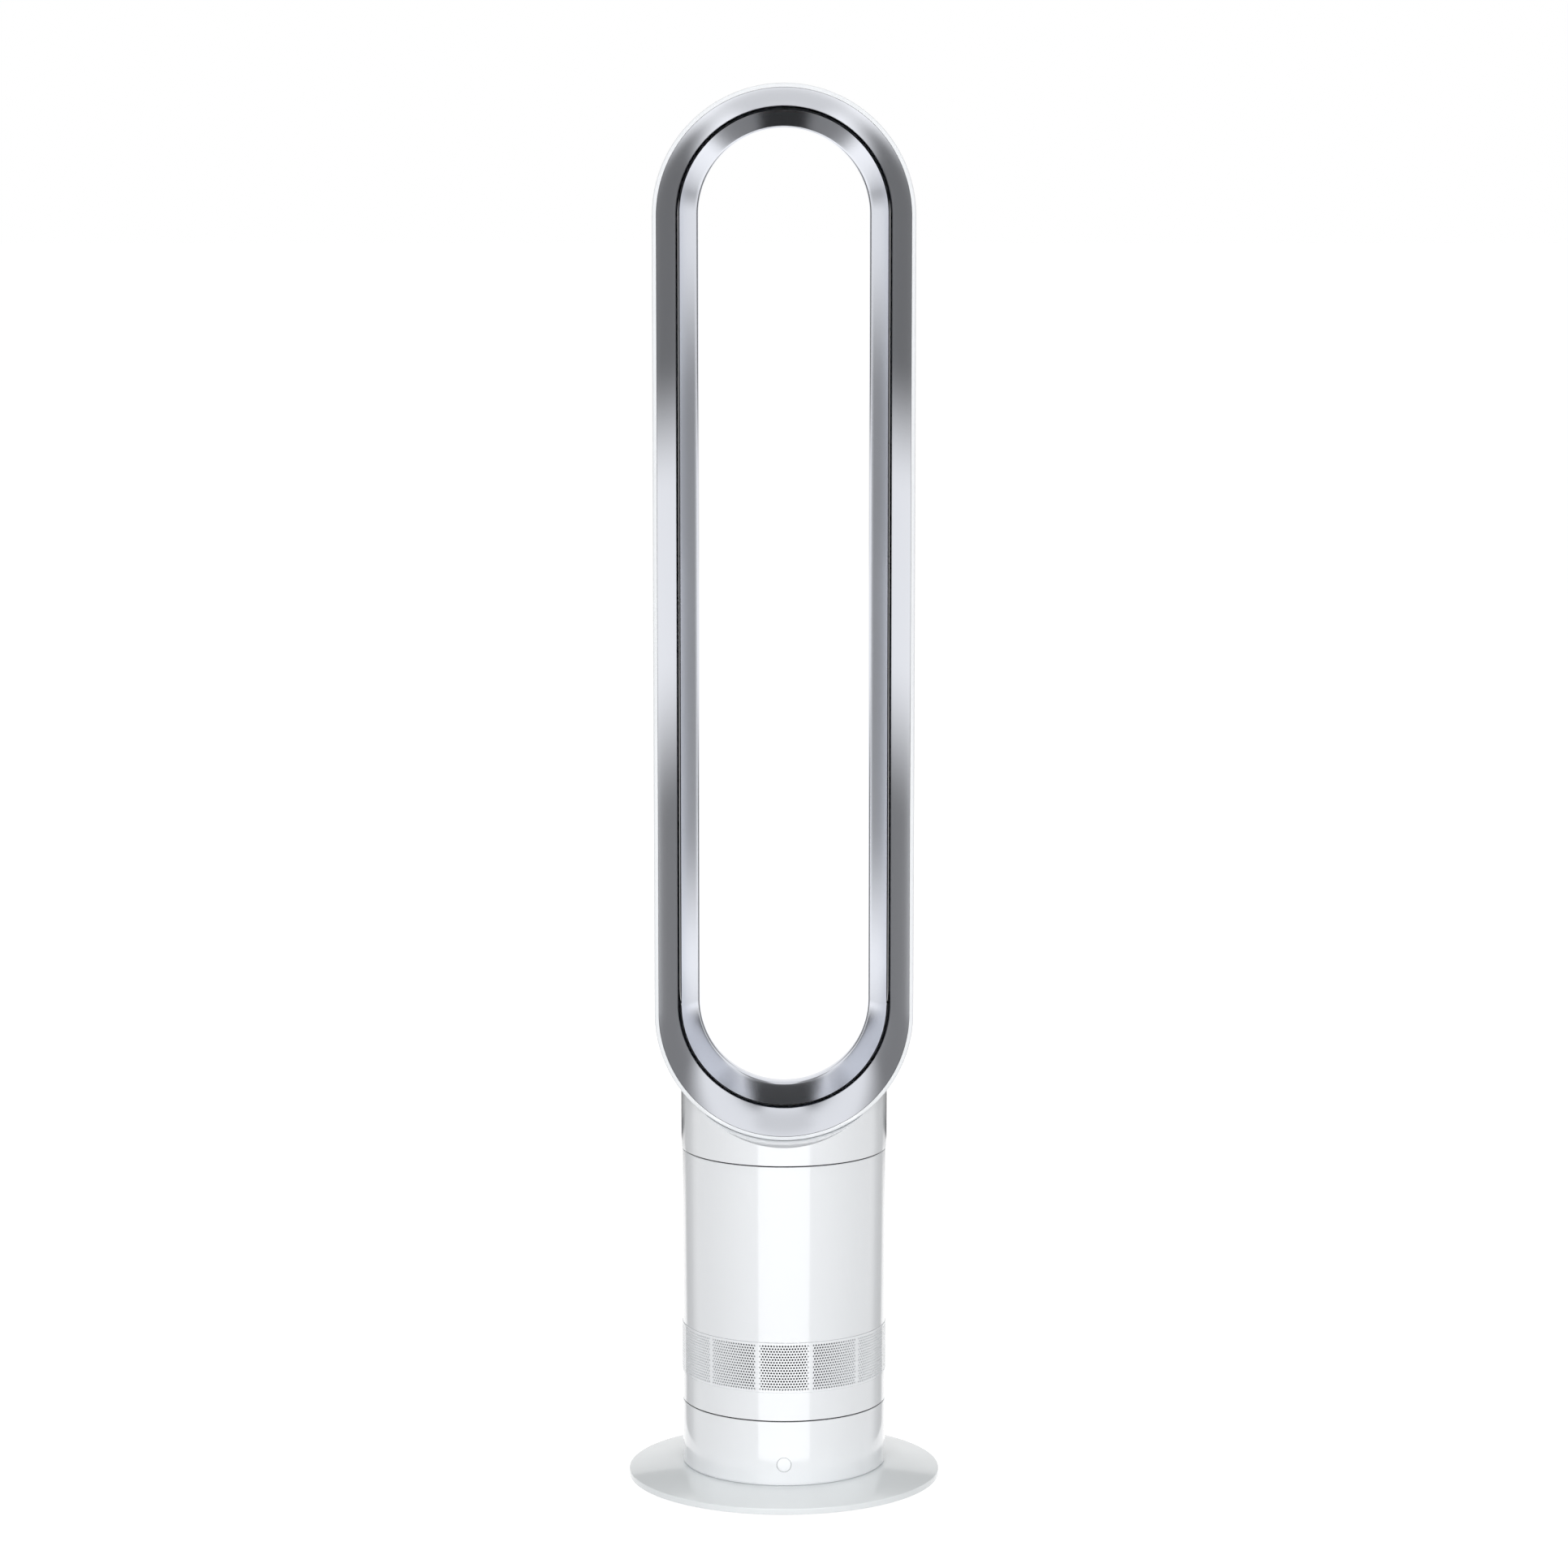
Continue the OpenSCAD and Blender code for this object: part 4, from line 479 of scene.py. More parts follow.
def plug_along_y(radius: float, y0: float, y1: float, z: float, count: int = 96) -> bpy.types.Object:
    """A closed cylinder along Y, used to cut bores.

    Args:
        radius: its radius.
        y0: one end.
        y1: the other end.
        z: height of its axis.
        count: spans round it.

    Returns:
        The object.
    """
    ends = ((0.0, y0), (radius, y0), (radius, y1), (0.0, y1))
    return loft("cutter", [[(r * c, y, z + r * s) for c, s in circle(count)] for r, y in ends], False)


def prism(plan: Sequence[Pair], middle: Pair, low: float, high: float) -> bpy.types.Object:
    """A closed upright prism, used to cut windows.

    Args:
        plan: its outline from above.
        middle: a point inside the outline.
        low: height of its lower end.
        high: height of its upper end.

    Returns:
        The object.
    """
    rings = [[(*p, z) for p in points] for points, z in
             (([middle] * len(plan), low), (plan, low), (plan, high), ([middle] * len(plan), high))]
    return loft("cutter", rings, False)


@dataclass
class Workshop:
    """Args:
        materials: the finish of each slot.
    """

    materials: dict[Slot, bpy.types.Material]

    def place(self, piece: bpy.types.Object, body: Body, slot: Slot, *nodes: str) -> bpy.types.Object:
        """Gives a piece its finish and its body, and hides the CAD nodes that it replaces.

        Args:
            piece: the finished piece.
            body: the CAD body that it rides on.
            slot: the record's slot.
            nodes: CAD nodes that it replaces.

        Returns:
            The piece.
        """
        piece.data.materials.clear()
        piece.data.materials.append(self.materials[slot])
        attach(piece, body.value)
        if nodes:
            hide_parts(*nodes)
        LOG.info("%s: %d faces on %s", piece.name, len(piece.data.polygons), body.value)
        return piece

    def dress_frame(self) -> None:
        """Gives every CAD node the finish of its slot."""
        slots = {row["node"]: Slot(row["material_slot"]) for row in frame["record"]["subparts"]}
        for name, node in frame["nodes"].items():
            for row in node.material_slots:
                row.link = "OBJECT"
                row.material = self.materials[slots[name]]


# ---------------------------------------------------------------- loop
@dataclass
class Loop:
    """The tall air loop: white shell, silver flare and silver throat.

    Outlines are pairs of the distance from the centre line and the depth behind the front plane. Three
    sizes are shares of the wall: flare_wall, rear_wall and rib_set. The skips count points at an outline's ends
    that its back leaves out.
    """

    high_z: float = 923.95
    front_y: float = -51.0
    depth: float = 108.0
    outer_r: float = 93.05
    wall: float = 2.0
    rim: float = 2.9
    rim_round: float = 1.2
    side_end: float = 75.6
    shoulder: float = 99.36
    nose_r: float = 77.0
    arc_steps: int = 128
    straight_steps: int = 24
    rim_steps: int = 8
    nose_steps: int = 24
    inner_steps: int = 16
    curve_steps: int = 28
    crest_steps: int = 10
    lip_steps: int = 8
    sharp: float = 30.0
    rim_gap: float = 0.2
    edge_v: float = 0.6
    bulge: float = 1.0
    flare_wall: float = 0.8
    flare_skip: int = 6
    throat_skip: int = 5
    rear_wall: float = 1.4
    slot_r: float = 75.0
    slot_w: float = 1.3
    slot_v: float = 39.0
    throat_r: float = 61.3
    throat_v: float = 62.0
    bevel: float = 0.86
    slot_ribs: int = 6
    arc_ribs: int = 3
    rib_w: float = 1.6
    rib_gap: float = 0.05
    rib_set: float = 1.6
    neck_r: float = 22.0
    neck_steps: int = 32
    over: float = 2.0

    def sweep(self, name: str, outline: Sequence[Pair]) -> bpy.types.Object:
        """Sweeps a closed outline round the racetrack."""
        stations: list[Point] = []
        for start, side, near, far in ((0.0, -1.0, self.high_z, LOOP_LOW),
                                       (math.pi, 1.0, LOOP_LOW, self.high_z)):
            for k in range(self.arc_steps + 1):
                a = start + math.pi * k / self.arc_steps
                stations.append((math.cos(a), math.sin(a), near))
            for k in range(1, self.straight_steps):
                stations.append((side, 0.0, near + (far - near) * k / self.straight_steps))
        rings = [[(r * c, self.front_y + v, z + r * s) for c, s, z in stations] for r, v in outline]
        return loft(name, rings, True, self.sharp)

    def shell_outline(self) -> list[Pair]:
        """Outline of the white outer shell."""
        outside = [(self.outer_r - self.rim, 0.0)]
        for k in range(self.rim_steps + 1):
            a = math.radians(-90 + 90 * k / self.rim_steps)
            outside.append((self.outer_r - self.rim_round + self.rim_round * math.cos(a),
                            self.rim_round + self.rim_round * math.sin(a)))
        outside.append((self.outer_r, self.side_end / 2))
        outside += bend((self.outer_r, self.side_end), (self.outer_r, self.shoulder),
                        (self.nose_r + self.wall, self.depth), self.nose_steps)
        inner_r = self.outer_r - self.wall
        inside = bend((inner_r, self.side_end), (inner_r, self.shoulder),
                      (self.nose_r + self.wall, self.depth - self.wall), self.inner_steps)
        return (outside + [(self.nose_r, self.depth), (self.nose_r, self.depth - self.wall)] + inside[::-1]
                + [(inner_r, self.rim + self.wall), (self.outer_r - self.rim, self.rim)])

    def flare_outline(self) -> list[Pair]:
        """Outline of the silver front wall, from the rim to the tail behind the slot."""
        edge = (self.outer_r - self.rim - self.rim_gap, self.edge_v)
        crest = (self.slot_r + self.slot_w / 2, self.slot_v)
        bow = ((edge[0] + crest[0]) / 2 + self.bulge, (edge[1] + crest[1]) / 2 + self.bulge)
        turn = (crest[0] - self.slot_w / 4, crest[1] + self.wall)
        tail = (self.slot_r + self.slot_w + self.wall, self.slot_v + 4 * self.wall)
        line = bend(edge, bow, crest, self.curve_steps) + bend(crest, turn, tail, self.lip_steps)[1:]
        back = offset_side(line, self.flare_wall * self.wall, self.flare_skip, len(line) - 1)
        return line + back + [(edge[0], self.rim + self.rim_gap)]

    def throat_outline(self) -> list[Pair]:
        """Outline of the silver throat, from the lip at the slot to the rear edge."""
        lip = (self.slot_r - self.slot_w / 2, self.slot_v - self.wall / 2)
        corner = (self.throat_r, self.slot_v + (self.throat_v - self.slot_v) * self.bevel)
        crest = (self.throat_r, self.throat_v)
        rear = (self.nose_r - self.rim_gap, self.depth)
        end = tuple(p + (q - p) * self.bevel for p, q in zip(lip, corner))
        line = (bend(lip, tuple((p + q) / 2 for p, q in zip(lip, end)), end, self.lip_steps)
                + bend(end, corner, crest, self.crest_steps)[1:]
                + bend(crest, (self.throat_r, (self.throat_v + self.depth) / 2), rear, self.curve_steps)[1:])
        back = offset_side(line, self.wall, self.throat_skip, len(line) - self.throat_skip)
        return (line + [(rear[0], self.depth - self.rear_wall * self.wall)] + back
                + [(lip[0], self.slot_v + 3 * self.wall)])

    def ribs(self) -> bpy.types.Object:
        """Small ribs behind the throat's lip that keep the slot at its width."""
        near = self.slot_r - self.slot_w / 2 - self.wall / 2
        far = self.slot_r + self.slot_w / 2 - self.rib_gap
        v0 = self.slot_v + self.rib_set * self.wall
        v1 = v0 + self.wall
        outline = ((near, v1), (near, v0), (far, v1 + 2 * self.wall), (far, v1 + 3 * self.wall))
        stations = [(s, 0.0, z) for s in (1.0, -1.0) for z in
                    (LOOP_LOW + (self.high_z - LOOP_LOW) * k / (self.slot_ribs + 1)
                     for k in range(self.slot_ribs + 2))]
        for middle, sign in ((self.high_z, 1.0), (LOOP_LOW, -1.0)):
            for k in range(1, self.arc_ribs + 1):
                a = math.pi * k / (self.arc_ribs + 1)
                stations.append((math.cos(a), sign * math.sin(a), middle))
        bm = bmesh.new()
        for c, s, middle in stations:
            left, right = (
                [bm.verts.new(Vector((r * c - side * s, self.front_y + v, middle + r * s + side * c)) * MM)
                 for r, v in outline] for side in (-self.rib_w / 2, self.rib_w / 2))
            bm.faces.new(left)
            bm.faces.new(right[::-1])
            skin(bm, right, left)
        return to_object(bm, "slot_ribs")

    def neck_cutter(self) -> bpy.types.Object:
        """Upright prism through which the air enters the loop."""
        plan = []
        for side in (1, -1):
            for k in range(self.neck_steps + 1):
                a = math.radians(-90 * side + 180 * k / self.neck_steps)
                plan.append((side * NECK_HALF + self.neck_r * math.cos(a),
                             NECK_Y + self.neck_r * math.sin(a)))
        low, high = LOOP_LOW - self.outer_r - self.over, LOOP_LOW - self.outer_r / 2
        return prism(plan, (0.0, NECK_Y), low, high)

    def build(self, shop: Workshop) -> None:
        """Makes the loop's three walls and the slot's ribs."""
        shell = self.sweep("loop_shell", self.shell_outline())
        cut(shell, [self.neck_cutter()], self.sharp)
        shop.place(shell, Body.TOWER, Slot.WHITE, "outer_shell")
        shop.place(self.sweep("loop_flare", self.flare_outline()), Body.TOWER, Slot.SILVER, "front_flare")
        shop.place(self.sweep("loop_throat", self.throat_outline()), Body.TOWER, Slot.SILVER,
                   "throat_top", "throat_bottom", "throat_sides")
        shop.place(self.ribs(), Body.TOWER, Slot.SILVER)


# ---------------------------------------------------------------- tower
SOCKETS = {int: "NodeSocketInt", float: "NodeSocketFloat", bpy.types.Material: "NodeSocketMaterial"}


@dataclass
class Grille:
    """The perforated inlet band: staggered rows of holes in twelve panels."""

    outer_r: float = 74.8
    inner_r: float = 73.6
    low_z: float = 80.05
    high_z: float = 116.95
    first_row: float = 82.6
    row_pitch: float = 2.0
    rows: int = 17
    columns: int = 18
    column_pitch: float = 1.5765
    panels: int = 12
    panel_deg: float = 30.0
    hole_r: float = 0.74
    hole_sides: int = 8
    edge: float = 0.3
    front_deg: float = -90.0
    sharp: float = 40.0

    def at(self, deg: float, r: float, z: float) -> Vector:
        """A point in metres from its angle, radius and height."""
        a = math.radians(deg)
        return Vector((r * math.cos(a), r * math.sin(a), z)) * MM

    def cell(self) -> bpy.types.Mesh:
        """One hole with the patch of band round it, at angle 0 and height 0."""
        bm = bmesh.new()
        hole_deg = math.degrees(self.hole_r / self.outer_r)
        frame_pts, hole_pts = [], []
        for k in range(self.hole_sides):
            a = math.tau / self.hole_sides * k
            c, s = math.cos(a), math.sin(a)
            frame_pts.append((round(c) * self.column_pitch / 2, round(s) * self.row_pitch / 2))
            hole_pts.append((c * hole_deg, s * self.hole_r))
        rims = [[bm.verts.new(self.at(d, r, z)) for d, z in pts]
                for pts, r in ((frame_pts, self.outer_r), (hole_pts, self.outer_r),
                               (hole_pts, self.inner_r), (frame_pts, self.inner_r))]
        for near, far in zip(rims, rims[1:]):
            skin(bm, near, far)
        return to_mesh(bm, "grille_cell")

    def tree(self, values: dict[str, Any]) -> bpy.types.NodeTree:
        """Geometry Nodes tree that repeats the incoming cell over every panel.

        Args:
            values: the inputs' names, with values of the right kinds.

        Returns:
            The tree.
        """
        tree = bpy.data.node_groups.new("perforations", "GeometryNodeTree")
        for way in ("OUTPUT", "INPUT"):
            tree.interface.new_socket("Geometry", in_out=way, socket_type="NodeSocketGeometry")
        for name, value in values.items():
            tree.interface.new_socket(name, in_out="INPUT", socket_type=SOCKETS[type(value)])
        bench = Bench(tree)
        group = tree.nodes.new("NodeGroupInput")

        def given(name: str) -> Wire:
            """A named input of the tree."""
            return Wire(bench, group.outputs[name])

        columns, rows = given("Columns"), given("Rows")
        index = bench.node("GeometryNodeInputIndex")
        column = index.to("FLOORED_MODULO", columns)
        line = ((index + 0.5) / columns).to("FLOOR")
        row = line.to("FLOORED_MODULO", rows)
        panel = ((line + 0.5) / rows).to("FLOOR")
        odd = row.to("FLOORED_MODULO", 2.0)
        angle = (given("First Angle") + panel * given("Panel Angle")
                 + (column - (columns - 1.0) * 0.5 + odd * 0.5) * given("Column Angle"))
        height = given("First Row") + row * given("Row Pitch")
        points = bench.node("GeometryNodePoints", {"Count": given("Panels") * rows * columns})
        place = bench.node("ShaderNodeCombineXYZ", {"Z": height})
        points = bench.node("GeometryNodeSetPosition", {"Geometry": points, "Position": place})
        turn = bench.node("ShaderNodeCombineXYZ", {"Z": angle})
        keep = (column + odd).to("LESS_THAN", columns - 0.5)
        cells = bench.node("GeometryNodeInstanceOnPoints",
                           {"Points": points, "Selection": keep, "Instance": given("Geometry"), "Rotation": turn})
        solid = bench.node("GeometryNodeRealizeInstances", {"Geometry": cells})
        dressed = bench.node("GeometryNodeSetMaterial", {"Geometry": solid, "Material": given("Finish")})
        bench.node("NodeGroupOutput", {"Geometry": dressed})
        return tree

    def perforations(self, finish: bpy.types.Material) -> bpy.types.Mesh:
        """A plain mesh of every cell, made by running the tree on one."""
        seed = add_object("grille_cells", self.cell())
        step = seed.modifiers.new("perforations", "NODES")
        values = {"Panels": self.panels, "Rows": self.rows, "Columns": self.columns,
                  "Row Pitch": self.row_pitch * MM, "First Row": self.first_row * MM,
                  "Column Angle": math.radians(self.column_pitch), "Panel Angle": math.radians(self.panel_deg),
                  "First Angle": math.radians(self.front_deg), "Finish": finish}
        step.node_group = self.tree(values)
        for item in step.node_group.interface.items_tree:
            if item.in_out == "INPUT" and item.name in values:
                step[item.identifier] = values[item.name]
        depsgraph = bpy.context.evaluated_depsgraph_get()
        mesh = bpy.data.meshes.new_from_object(seed.evaluated_get(depsgraph))
        seed.modifiers.clear()
        bpy.data.objects.remove(seed)
        return mesh

    def border(self, bm: bmesh.types.BMesh) -> None:
        """Adds the plain strips between panels, beside the short rows, and along both edges.

        Args:
            bm: the mesh that receives them.
        """
        half_row, half_col = self.row_pitch / 2, self.column_pitch / 2
        base = self.first_row - half_row
        reach = self.columns * half_col
        last = 2 * self.rows

        def strip(d0: float, d1: float, outline: Sequence[Pair]) -> None:
            """Joins two angles along an outline of radius and height."""
            near, far = ([bm.verts.new(self.at(d, r, z)) for r, z in outline] for d in (d0, d1))
            skin(bm, near, far, False)

        top = base + last * half_row
        low_edge = [(self.outer_r, base), (self.outer_r, self.low_z + self.edge),
                    (self.outer_r - self.edge, self.low_z), (self.inner_r, self.low_z), (self.inner_r, base)]
        high_edge = [(self.inner_r, top), (self.inner_r, self.high_z), (self.outer_r - self.edge, self.high_z),
                     (self.outer_r, self.high_z - self.edge), (self.outer_r, top)]
        for i in range(self.panels):
            middle = self.front_deg + i * self.panel_deg
            cuts = [middle - reach + k * half_col for k in range(2 * self.columns + 1)]
            cuts.append(middle + self.panel_deg - reach)
            for d0, d1 in zip(cuts, cuts[1:]):
                strip(d0, d1, low_edge)
                strip(d0, d1, high_edge)
            for level in range(last):
                z0, z1 = base + level * half_row, base + (level + 1) * half_row
                spans = [(cuts[-2], cuts[-1])]
                if (level // 2) % 2:
                    spans += [(cuts[0], cuts[1]), (cuts[-3], cuts[-2])]
                for d0, d1 in spans:
                    strip(d0, d1, [(self.outer_r, z1), (self.outer_r, z0)])
                    strip(d0, d1, [(self.inner_r, z0), (self.inner_r, z1)])

    def build(self, shop: Workshop) -> None:
        """Makes the band."""
        bm = bmesh.new()
        bm.from_mesh(self.perforations(shop.materials[Slot.WHITE]))
        self.border(bm)
        shop.place(to_object(bm, "inlet_band", self.sharp), Body.TOWER, Slot.WHITE, "inlet_grille")


@dataclass
class Tower:
    """Housings above the swivel seam, and the collar that carries the loop."""

    main_low: float = 117.0
    main_high: float = 246.3
    inlet_low: float = 59.4
    grille_z: float = 80.0
    screen_r: float = 70.7
    screen_wall: float = 0.3
    screen_gap: float = 1.0
    screen_spans: int = 192
    collar_r: float = 75.1
    collar_z: float = 247.3
    collar_wall: float = 2.4
    ring_r: float = 71.8
    ring_wall: float = 2.2
    ring_drop: float = 9.0
    saddle_r: float = 93.25
    skin: float = 2.4
    neck_top: float = 270.5
    neck_r: float = 21.7
    neck_wall: float = 1.8
    under_drop: float = 4.0
    spans: int = 256
    edge_steps: int = 4
    wall_steps: int = 8
    saddle_steps: int = 14
    under_steps: int = 8
    halvings: int = 40
    collar_sharp: float = 35.0

    def neck_reach(self, angle: float, grow: float) -> float:
        """How far the neck's outline lies from the axis.

        Args:
            angle: direction from the axis, in radians.
            grow: how much larger the outline is.

        Returns:
            The distance.
        """
        c, s = math.cos(angle), math.sin(angle)
        low, high = 0.0, 2 * (NECK_HALF + self.neck_r)
        for _ in range(self.halvings):
            mid = (low + high) / 2
            x, y = abs(mid * c), mid * s - NECK_Y
            inside = math.hypot(max(x - NECK_HALF, 0.0), y) < self.neck_r + grow
            low, high = (mid, high) if inside else (low, mid)
        return low

    def collar_rings(self) -> list[list[Point]]:
        """Rings in order round the collar's section: lower ring, wall, saddle, neck and underside."""
        angles = [2 * math.pi * k / self.spans for k in range(self.spans)]
        necks = {grow: [self.neck_reach(a, grow) for a in angles] for grow in (0.0, -self.neck_wall)}
        rings: list[list[Point]] = []

        def ring(radii: Sequence[float], height: Callable[[float], float]) -> None:
            """Adds one ring from its radius at each angle and its height at each x."""
            rings.append([(r * math.cos(a), r * math.sin(a), height(r * math.cos(a)))
                          for r, a in zip(radii, angles)])

        def round_ring(r: float, height: Callable[[float], float]) -> None:
            """Adds one ring of a single radius."""
            ring([r] * self.spans, height)

        def flat(z: float) -> Callable[[float], float]:
            """A constant height."""
            return lambda x: z

        def saddle(x: float, drop: float = 0.0) -> float:
            """Height of the saddle, or of its underside."""
            return LOOP_LOW - math.sqrt((self.saddle_r + drop) ** 2 - x * x)

        round_ring(self.ring_r - self.ring_wall, flat(self.collar_z - self.ring_drop))
        round_ring(self.ring_r, flat(self.collar_z - self.ring_drop))
        round_ring(self.ring_r, flat(self.collar_z))
        for k in range(self.edge_steps + 1):
            t = math.pi / 2 * k / self.edge_steps
            round_ring(self.collar_r - EDGE * (1 - math.sin(t)),
                       flat(self.collar_z + EDGE * (1 - math.cos(t))))
        low = self.collar_z + EDGE
        for k in range(1, self.wall_steps + 1):
            share = k / self.wall_steps
            round_ring(self.collar_r, lambda x: low + share * (saddle(x) - EDGE - low))
        for k in range(1, self.edge_steps + 1):
            t = k / self.edge_steps
            round_ring(self.collar_r - EDGE * t * t, lambda x: saddle(x) - EDGE * (1 - t) ** 2)
        start = self.collar_r - EDGE
        for k in range(1, self.saddle_steps + 1):
            ring([start + (r - start) * k / self.saddle_steps for r in necks[0.0]], saddle)
        inner = self.collar_r - self.collar_wall
        for grow in (0.0, -self.neck_wall):
            ring(necks[grow], flat(self.neck_top))
        for k in range(self.under_steps + 1):
            ring([r + (inner - r) * k / self.under_steps for r in necks[-self.neck_wall]],
                 lambda x: max(saddle(x, self.skin), self.collar_z + self.under_drop))
        round_ring(inner, flat(self.collar_z + self.collar_wall))
        round_ring(self.ring_r - self.ring_wall, flat(self.collar_z + self.collar_wall))
        return rings

    def build(self, shop: Workshop) -> None:
        """Makes both housings' walls, the collar, the dark rings that paint shade into the seams, and the
        near-black screen that paints the shade behind the grille's holes.
        """
        outline = rounded([(INNER_R, self.main_low, 0.0), (BODY_R, self.main_low, EDGE),
                           (BODY_R, self.main_high, EDGE), (INNER_R, self.main_high, 0.0)])
        shop.place(turned("main_wall", outline), Body.TOWER, Slot.WHITE, "main_housing")
        shop.place(smooth_copy("inlet_housing", "inlet_wall"), Body.TOWER, Slot.WHITE, "inlet_housing")
        collar = loft("collar_wall", self.collar_rings(), True, self.collar_sharp)
        shop.place(collar, Body.TOWER, Slot.WHITE, "collar")
        # The dark rings in the collar's and the swivel's gaps are painted shade that makes the seams read darker.
        for name, low in (("collar_shade_ring", self.main_high), ("swivel_shade_ring", self.inlet_low - SEAM)):
            shop.place(seam_ring(name, low), Body.TOWER, Slot.RUBBER)
        # A near-black screen behind the grille's holes: painted shade that makes the holes read dark.
        screen = box(self.screen_r - self.screen_wall, self.grille_z + self.screen_gap,
                     self.screen_r, self.main_low - self.screen_gap)
        shop.place(turned("painted_shade_screen", screen, self.screen_spans), Body.TOWER, Slot.FOAM)


def smooth_copy(node: str, name: str) -> bpy.types.Object:
    """A merged, smooth-shaded copy of a CAD node, with true normals on walls round the swivel axis."""
    bm = bmesh.new()
    bm.from_mesh(frame["nodes"][node].data)
    piece = to_object(bm, name, COPY_SHARP, outward=False)
    mesh = piece.data
    normals = []
    for face in mesh.polygons:
        for corner in face.loop_indices:
            place = mesh.vertices[mesh.loops[corner].vertex_index].co
            out = Vector((place.x, place.y, 0.0)).normalized()
            lean = face.normal.dot(out)
            if abs(face.normal.z) < ROUND_SLOPE and abs(lean) > ROUND_LEAN:
                normals.append(out if lean > 0 else -out)
            else:
                normals.append(mesh.corner_normals[corner].vector.copy())
    mesh.normals_split_custom_set(normals)
    return piece


def seam_ring(name: str, low: float) -> bpy.types.Object:
    """A dark ring at the bottom of the shadow gap that starts at this height: painted shade that deepens the gap.
    """
    return turned(name, box(SHADE_RING_IN, low + SHADE_RING_EASE, SHADE_RING_OUT, low + SEAM - SHADE_RING_EASE))


# ---------------------------------------------------------------- base
@dataclass
class Base:
    """Round plate, lower housing and its push button."""

    plate_r: float = 114.0
    plate_low: float = 1.0
    plate_top: float = 11.2
    rim_z: float = 5.4
    rim_wall: float = 3.0
    plate_wall: float = 2.2
    seam: float = 1.2
    seam_gap: float = 1.0
    wall_high: float = 58.4
    floor_z: float = 13.6
    bore_r: float = 5.4
    button_z: float = 26.7
    proud: float = 0.3
    inlet_half: float = 6.7
    inlet_low: float = 13.7
    inlet_high: float = 24.8
    level_in: float = 4.0
    rim_round: float = 0.7
    foot_round: float = 0.5
    round_steps: int = 6
    plate_spans: int = 320
    over: float = 5.0
    inlet_depth: float = 12.0
    button_spans: int = 72
    crown: tuple[Pair, ...] = ((0.0, 0.0), (1.6, 0.0), (3.2, 0.0), (4.3, 0.0), (4.75, 0.02), (5.0, 0.1),
                               (5.14, 0.24), (5.2, 0.45), (5.2, 3.0), (0.0, 3.0))

    def plate(self) -> bpy.types.Object:
        """Round plate with its low cone and small rim."""
        slope = (self.plate_top - self.rim_z) / (self.plate_r - BODY_R)
        inner = self.plate_r - self.rim_wall
        outline = rounded([
            (0.0, self.plate_top, 0.0), (BODY_R - self.level_in, self.plate_top, 0.0),
            (self.plate_r, self.rim_z, self.rim_round), (self.plate_r, self.plate_low, self.foot_round),
            (inner, self.plate_low, 0.0),
            (inner, self.rim_z - self.plate_wall + self.rim_wall * slope, 0.0),
            (BODY_R, self.plate_top - self.plate_wall, 0.0), (0.0, self.plate_top - self.plate_wall, 0.0)],
            self.round_steps)
        return turned("stand_plate", outline, self.plate_spans)

    def wall(self) -> bpy.types.Object:
        """Lower housing with its seam, the button's bore and the inlet's window."""
        outline = rounded([
            (0.0, self.plate_top, 0.0), (BODY_R - self.seam, self.plate_top, 0.0),
            (BODY_R - self.seam, self.plate_top + self.seam_gap, 0.0),
            (BODY_R, self.plate_top + self.seam_gap, EDGE), (BODY_R, self.wall_high, EDGE),
            (INNER_R, self.wall_high, 0.0), (INNER_R, self.floor_z, 0.0), (0.0, self.floor_z, 0.0)])
        piece = turned("lower_wall", outline)
        near, far = INNER_R - self.inlet_depth, BODY_R + self.over
        window = box(-self.inlet_half, near, self.inlet_half, far)
        cut(piece, [plug_along_y(self.bore_r, -BODY_R - self.over, -INNER_R + self.over, self.button_z),
                    prism(window, (0.0, (near + far) / 2), self.inlet_low, self.inlet_high)])
        return piece

    def button(self) -> bpy.types.Object:
        """Push button, crowned like the wall round it."""
        face_r = BODY_R + self.proud
        return loft("push_button", [
            [(r * c, -math.sqrt(face_r ** 2 - (r * c) ** 2) + back, self.button_z + r * s)
             for c, s in circle(self.button_spans)] for r, back in self.crown], False)

    def build(self, shop: Workshop) -> None:
        """Makes the base's outside."""
        shop.place(self.plate(), Body.BASE, Slot.PLATE, "base_plate")
        shop.place(self.wall(), Body.BASE, Slot.WHITE, "lower_housing")
        shop.place(self.button(), Body.BUTTON, Slot.WHITE, "power_button")
        shop.place(smooth_copy("rubber_feet", "feet"), Body.BASE, Slot.RUBBER, "rubber_feet")
        shop.place(smooth_copy("dc_socket", "inlet_socket"), Body.BASE, Slot.DARK, "dc_socket")


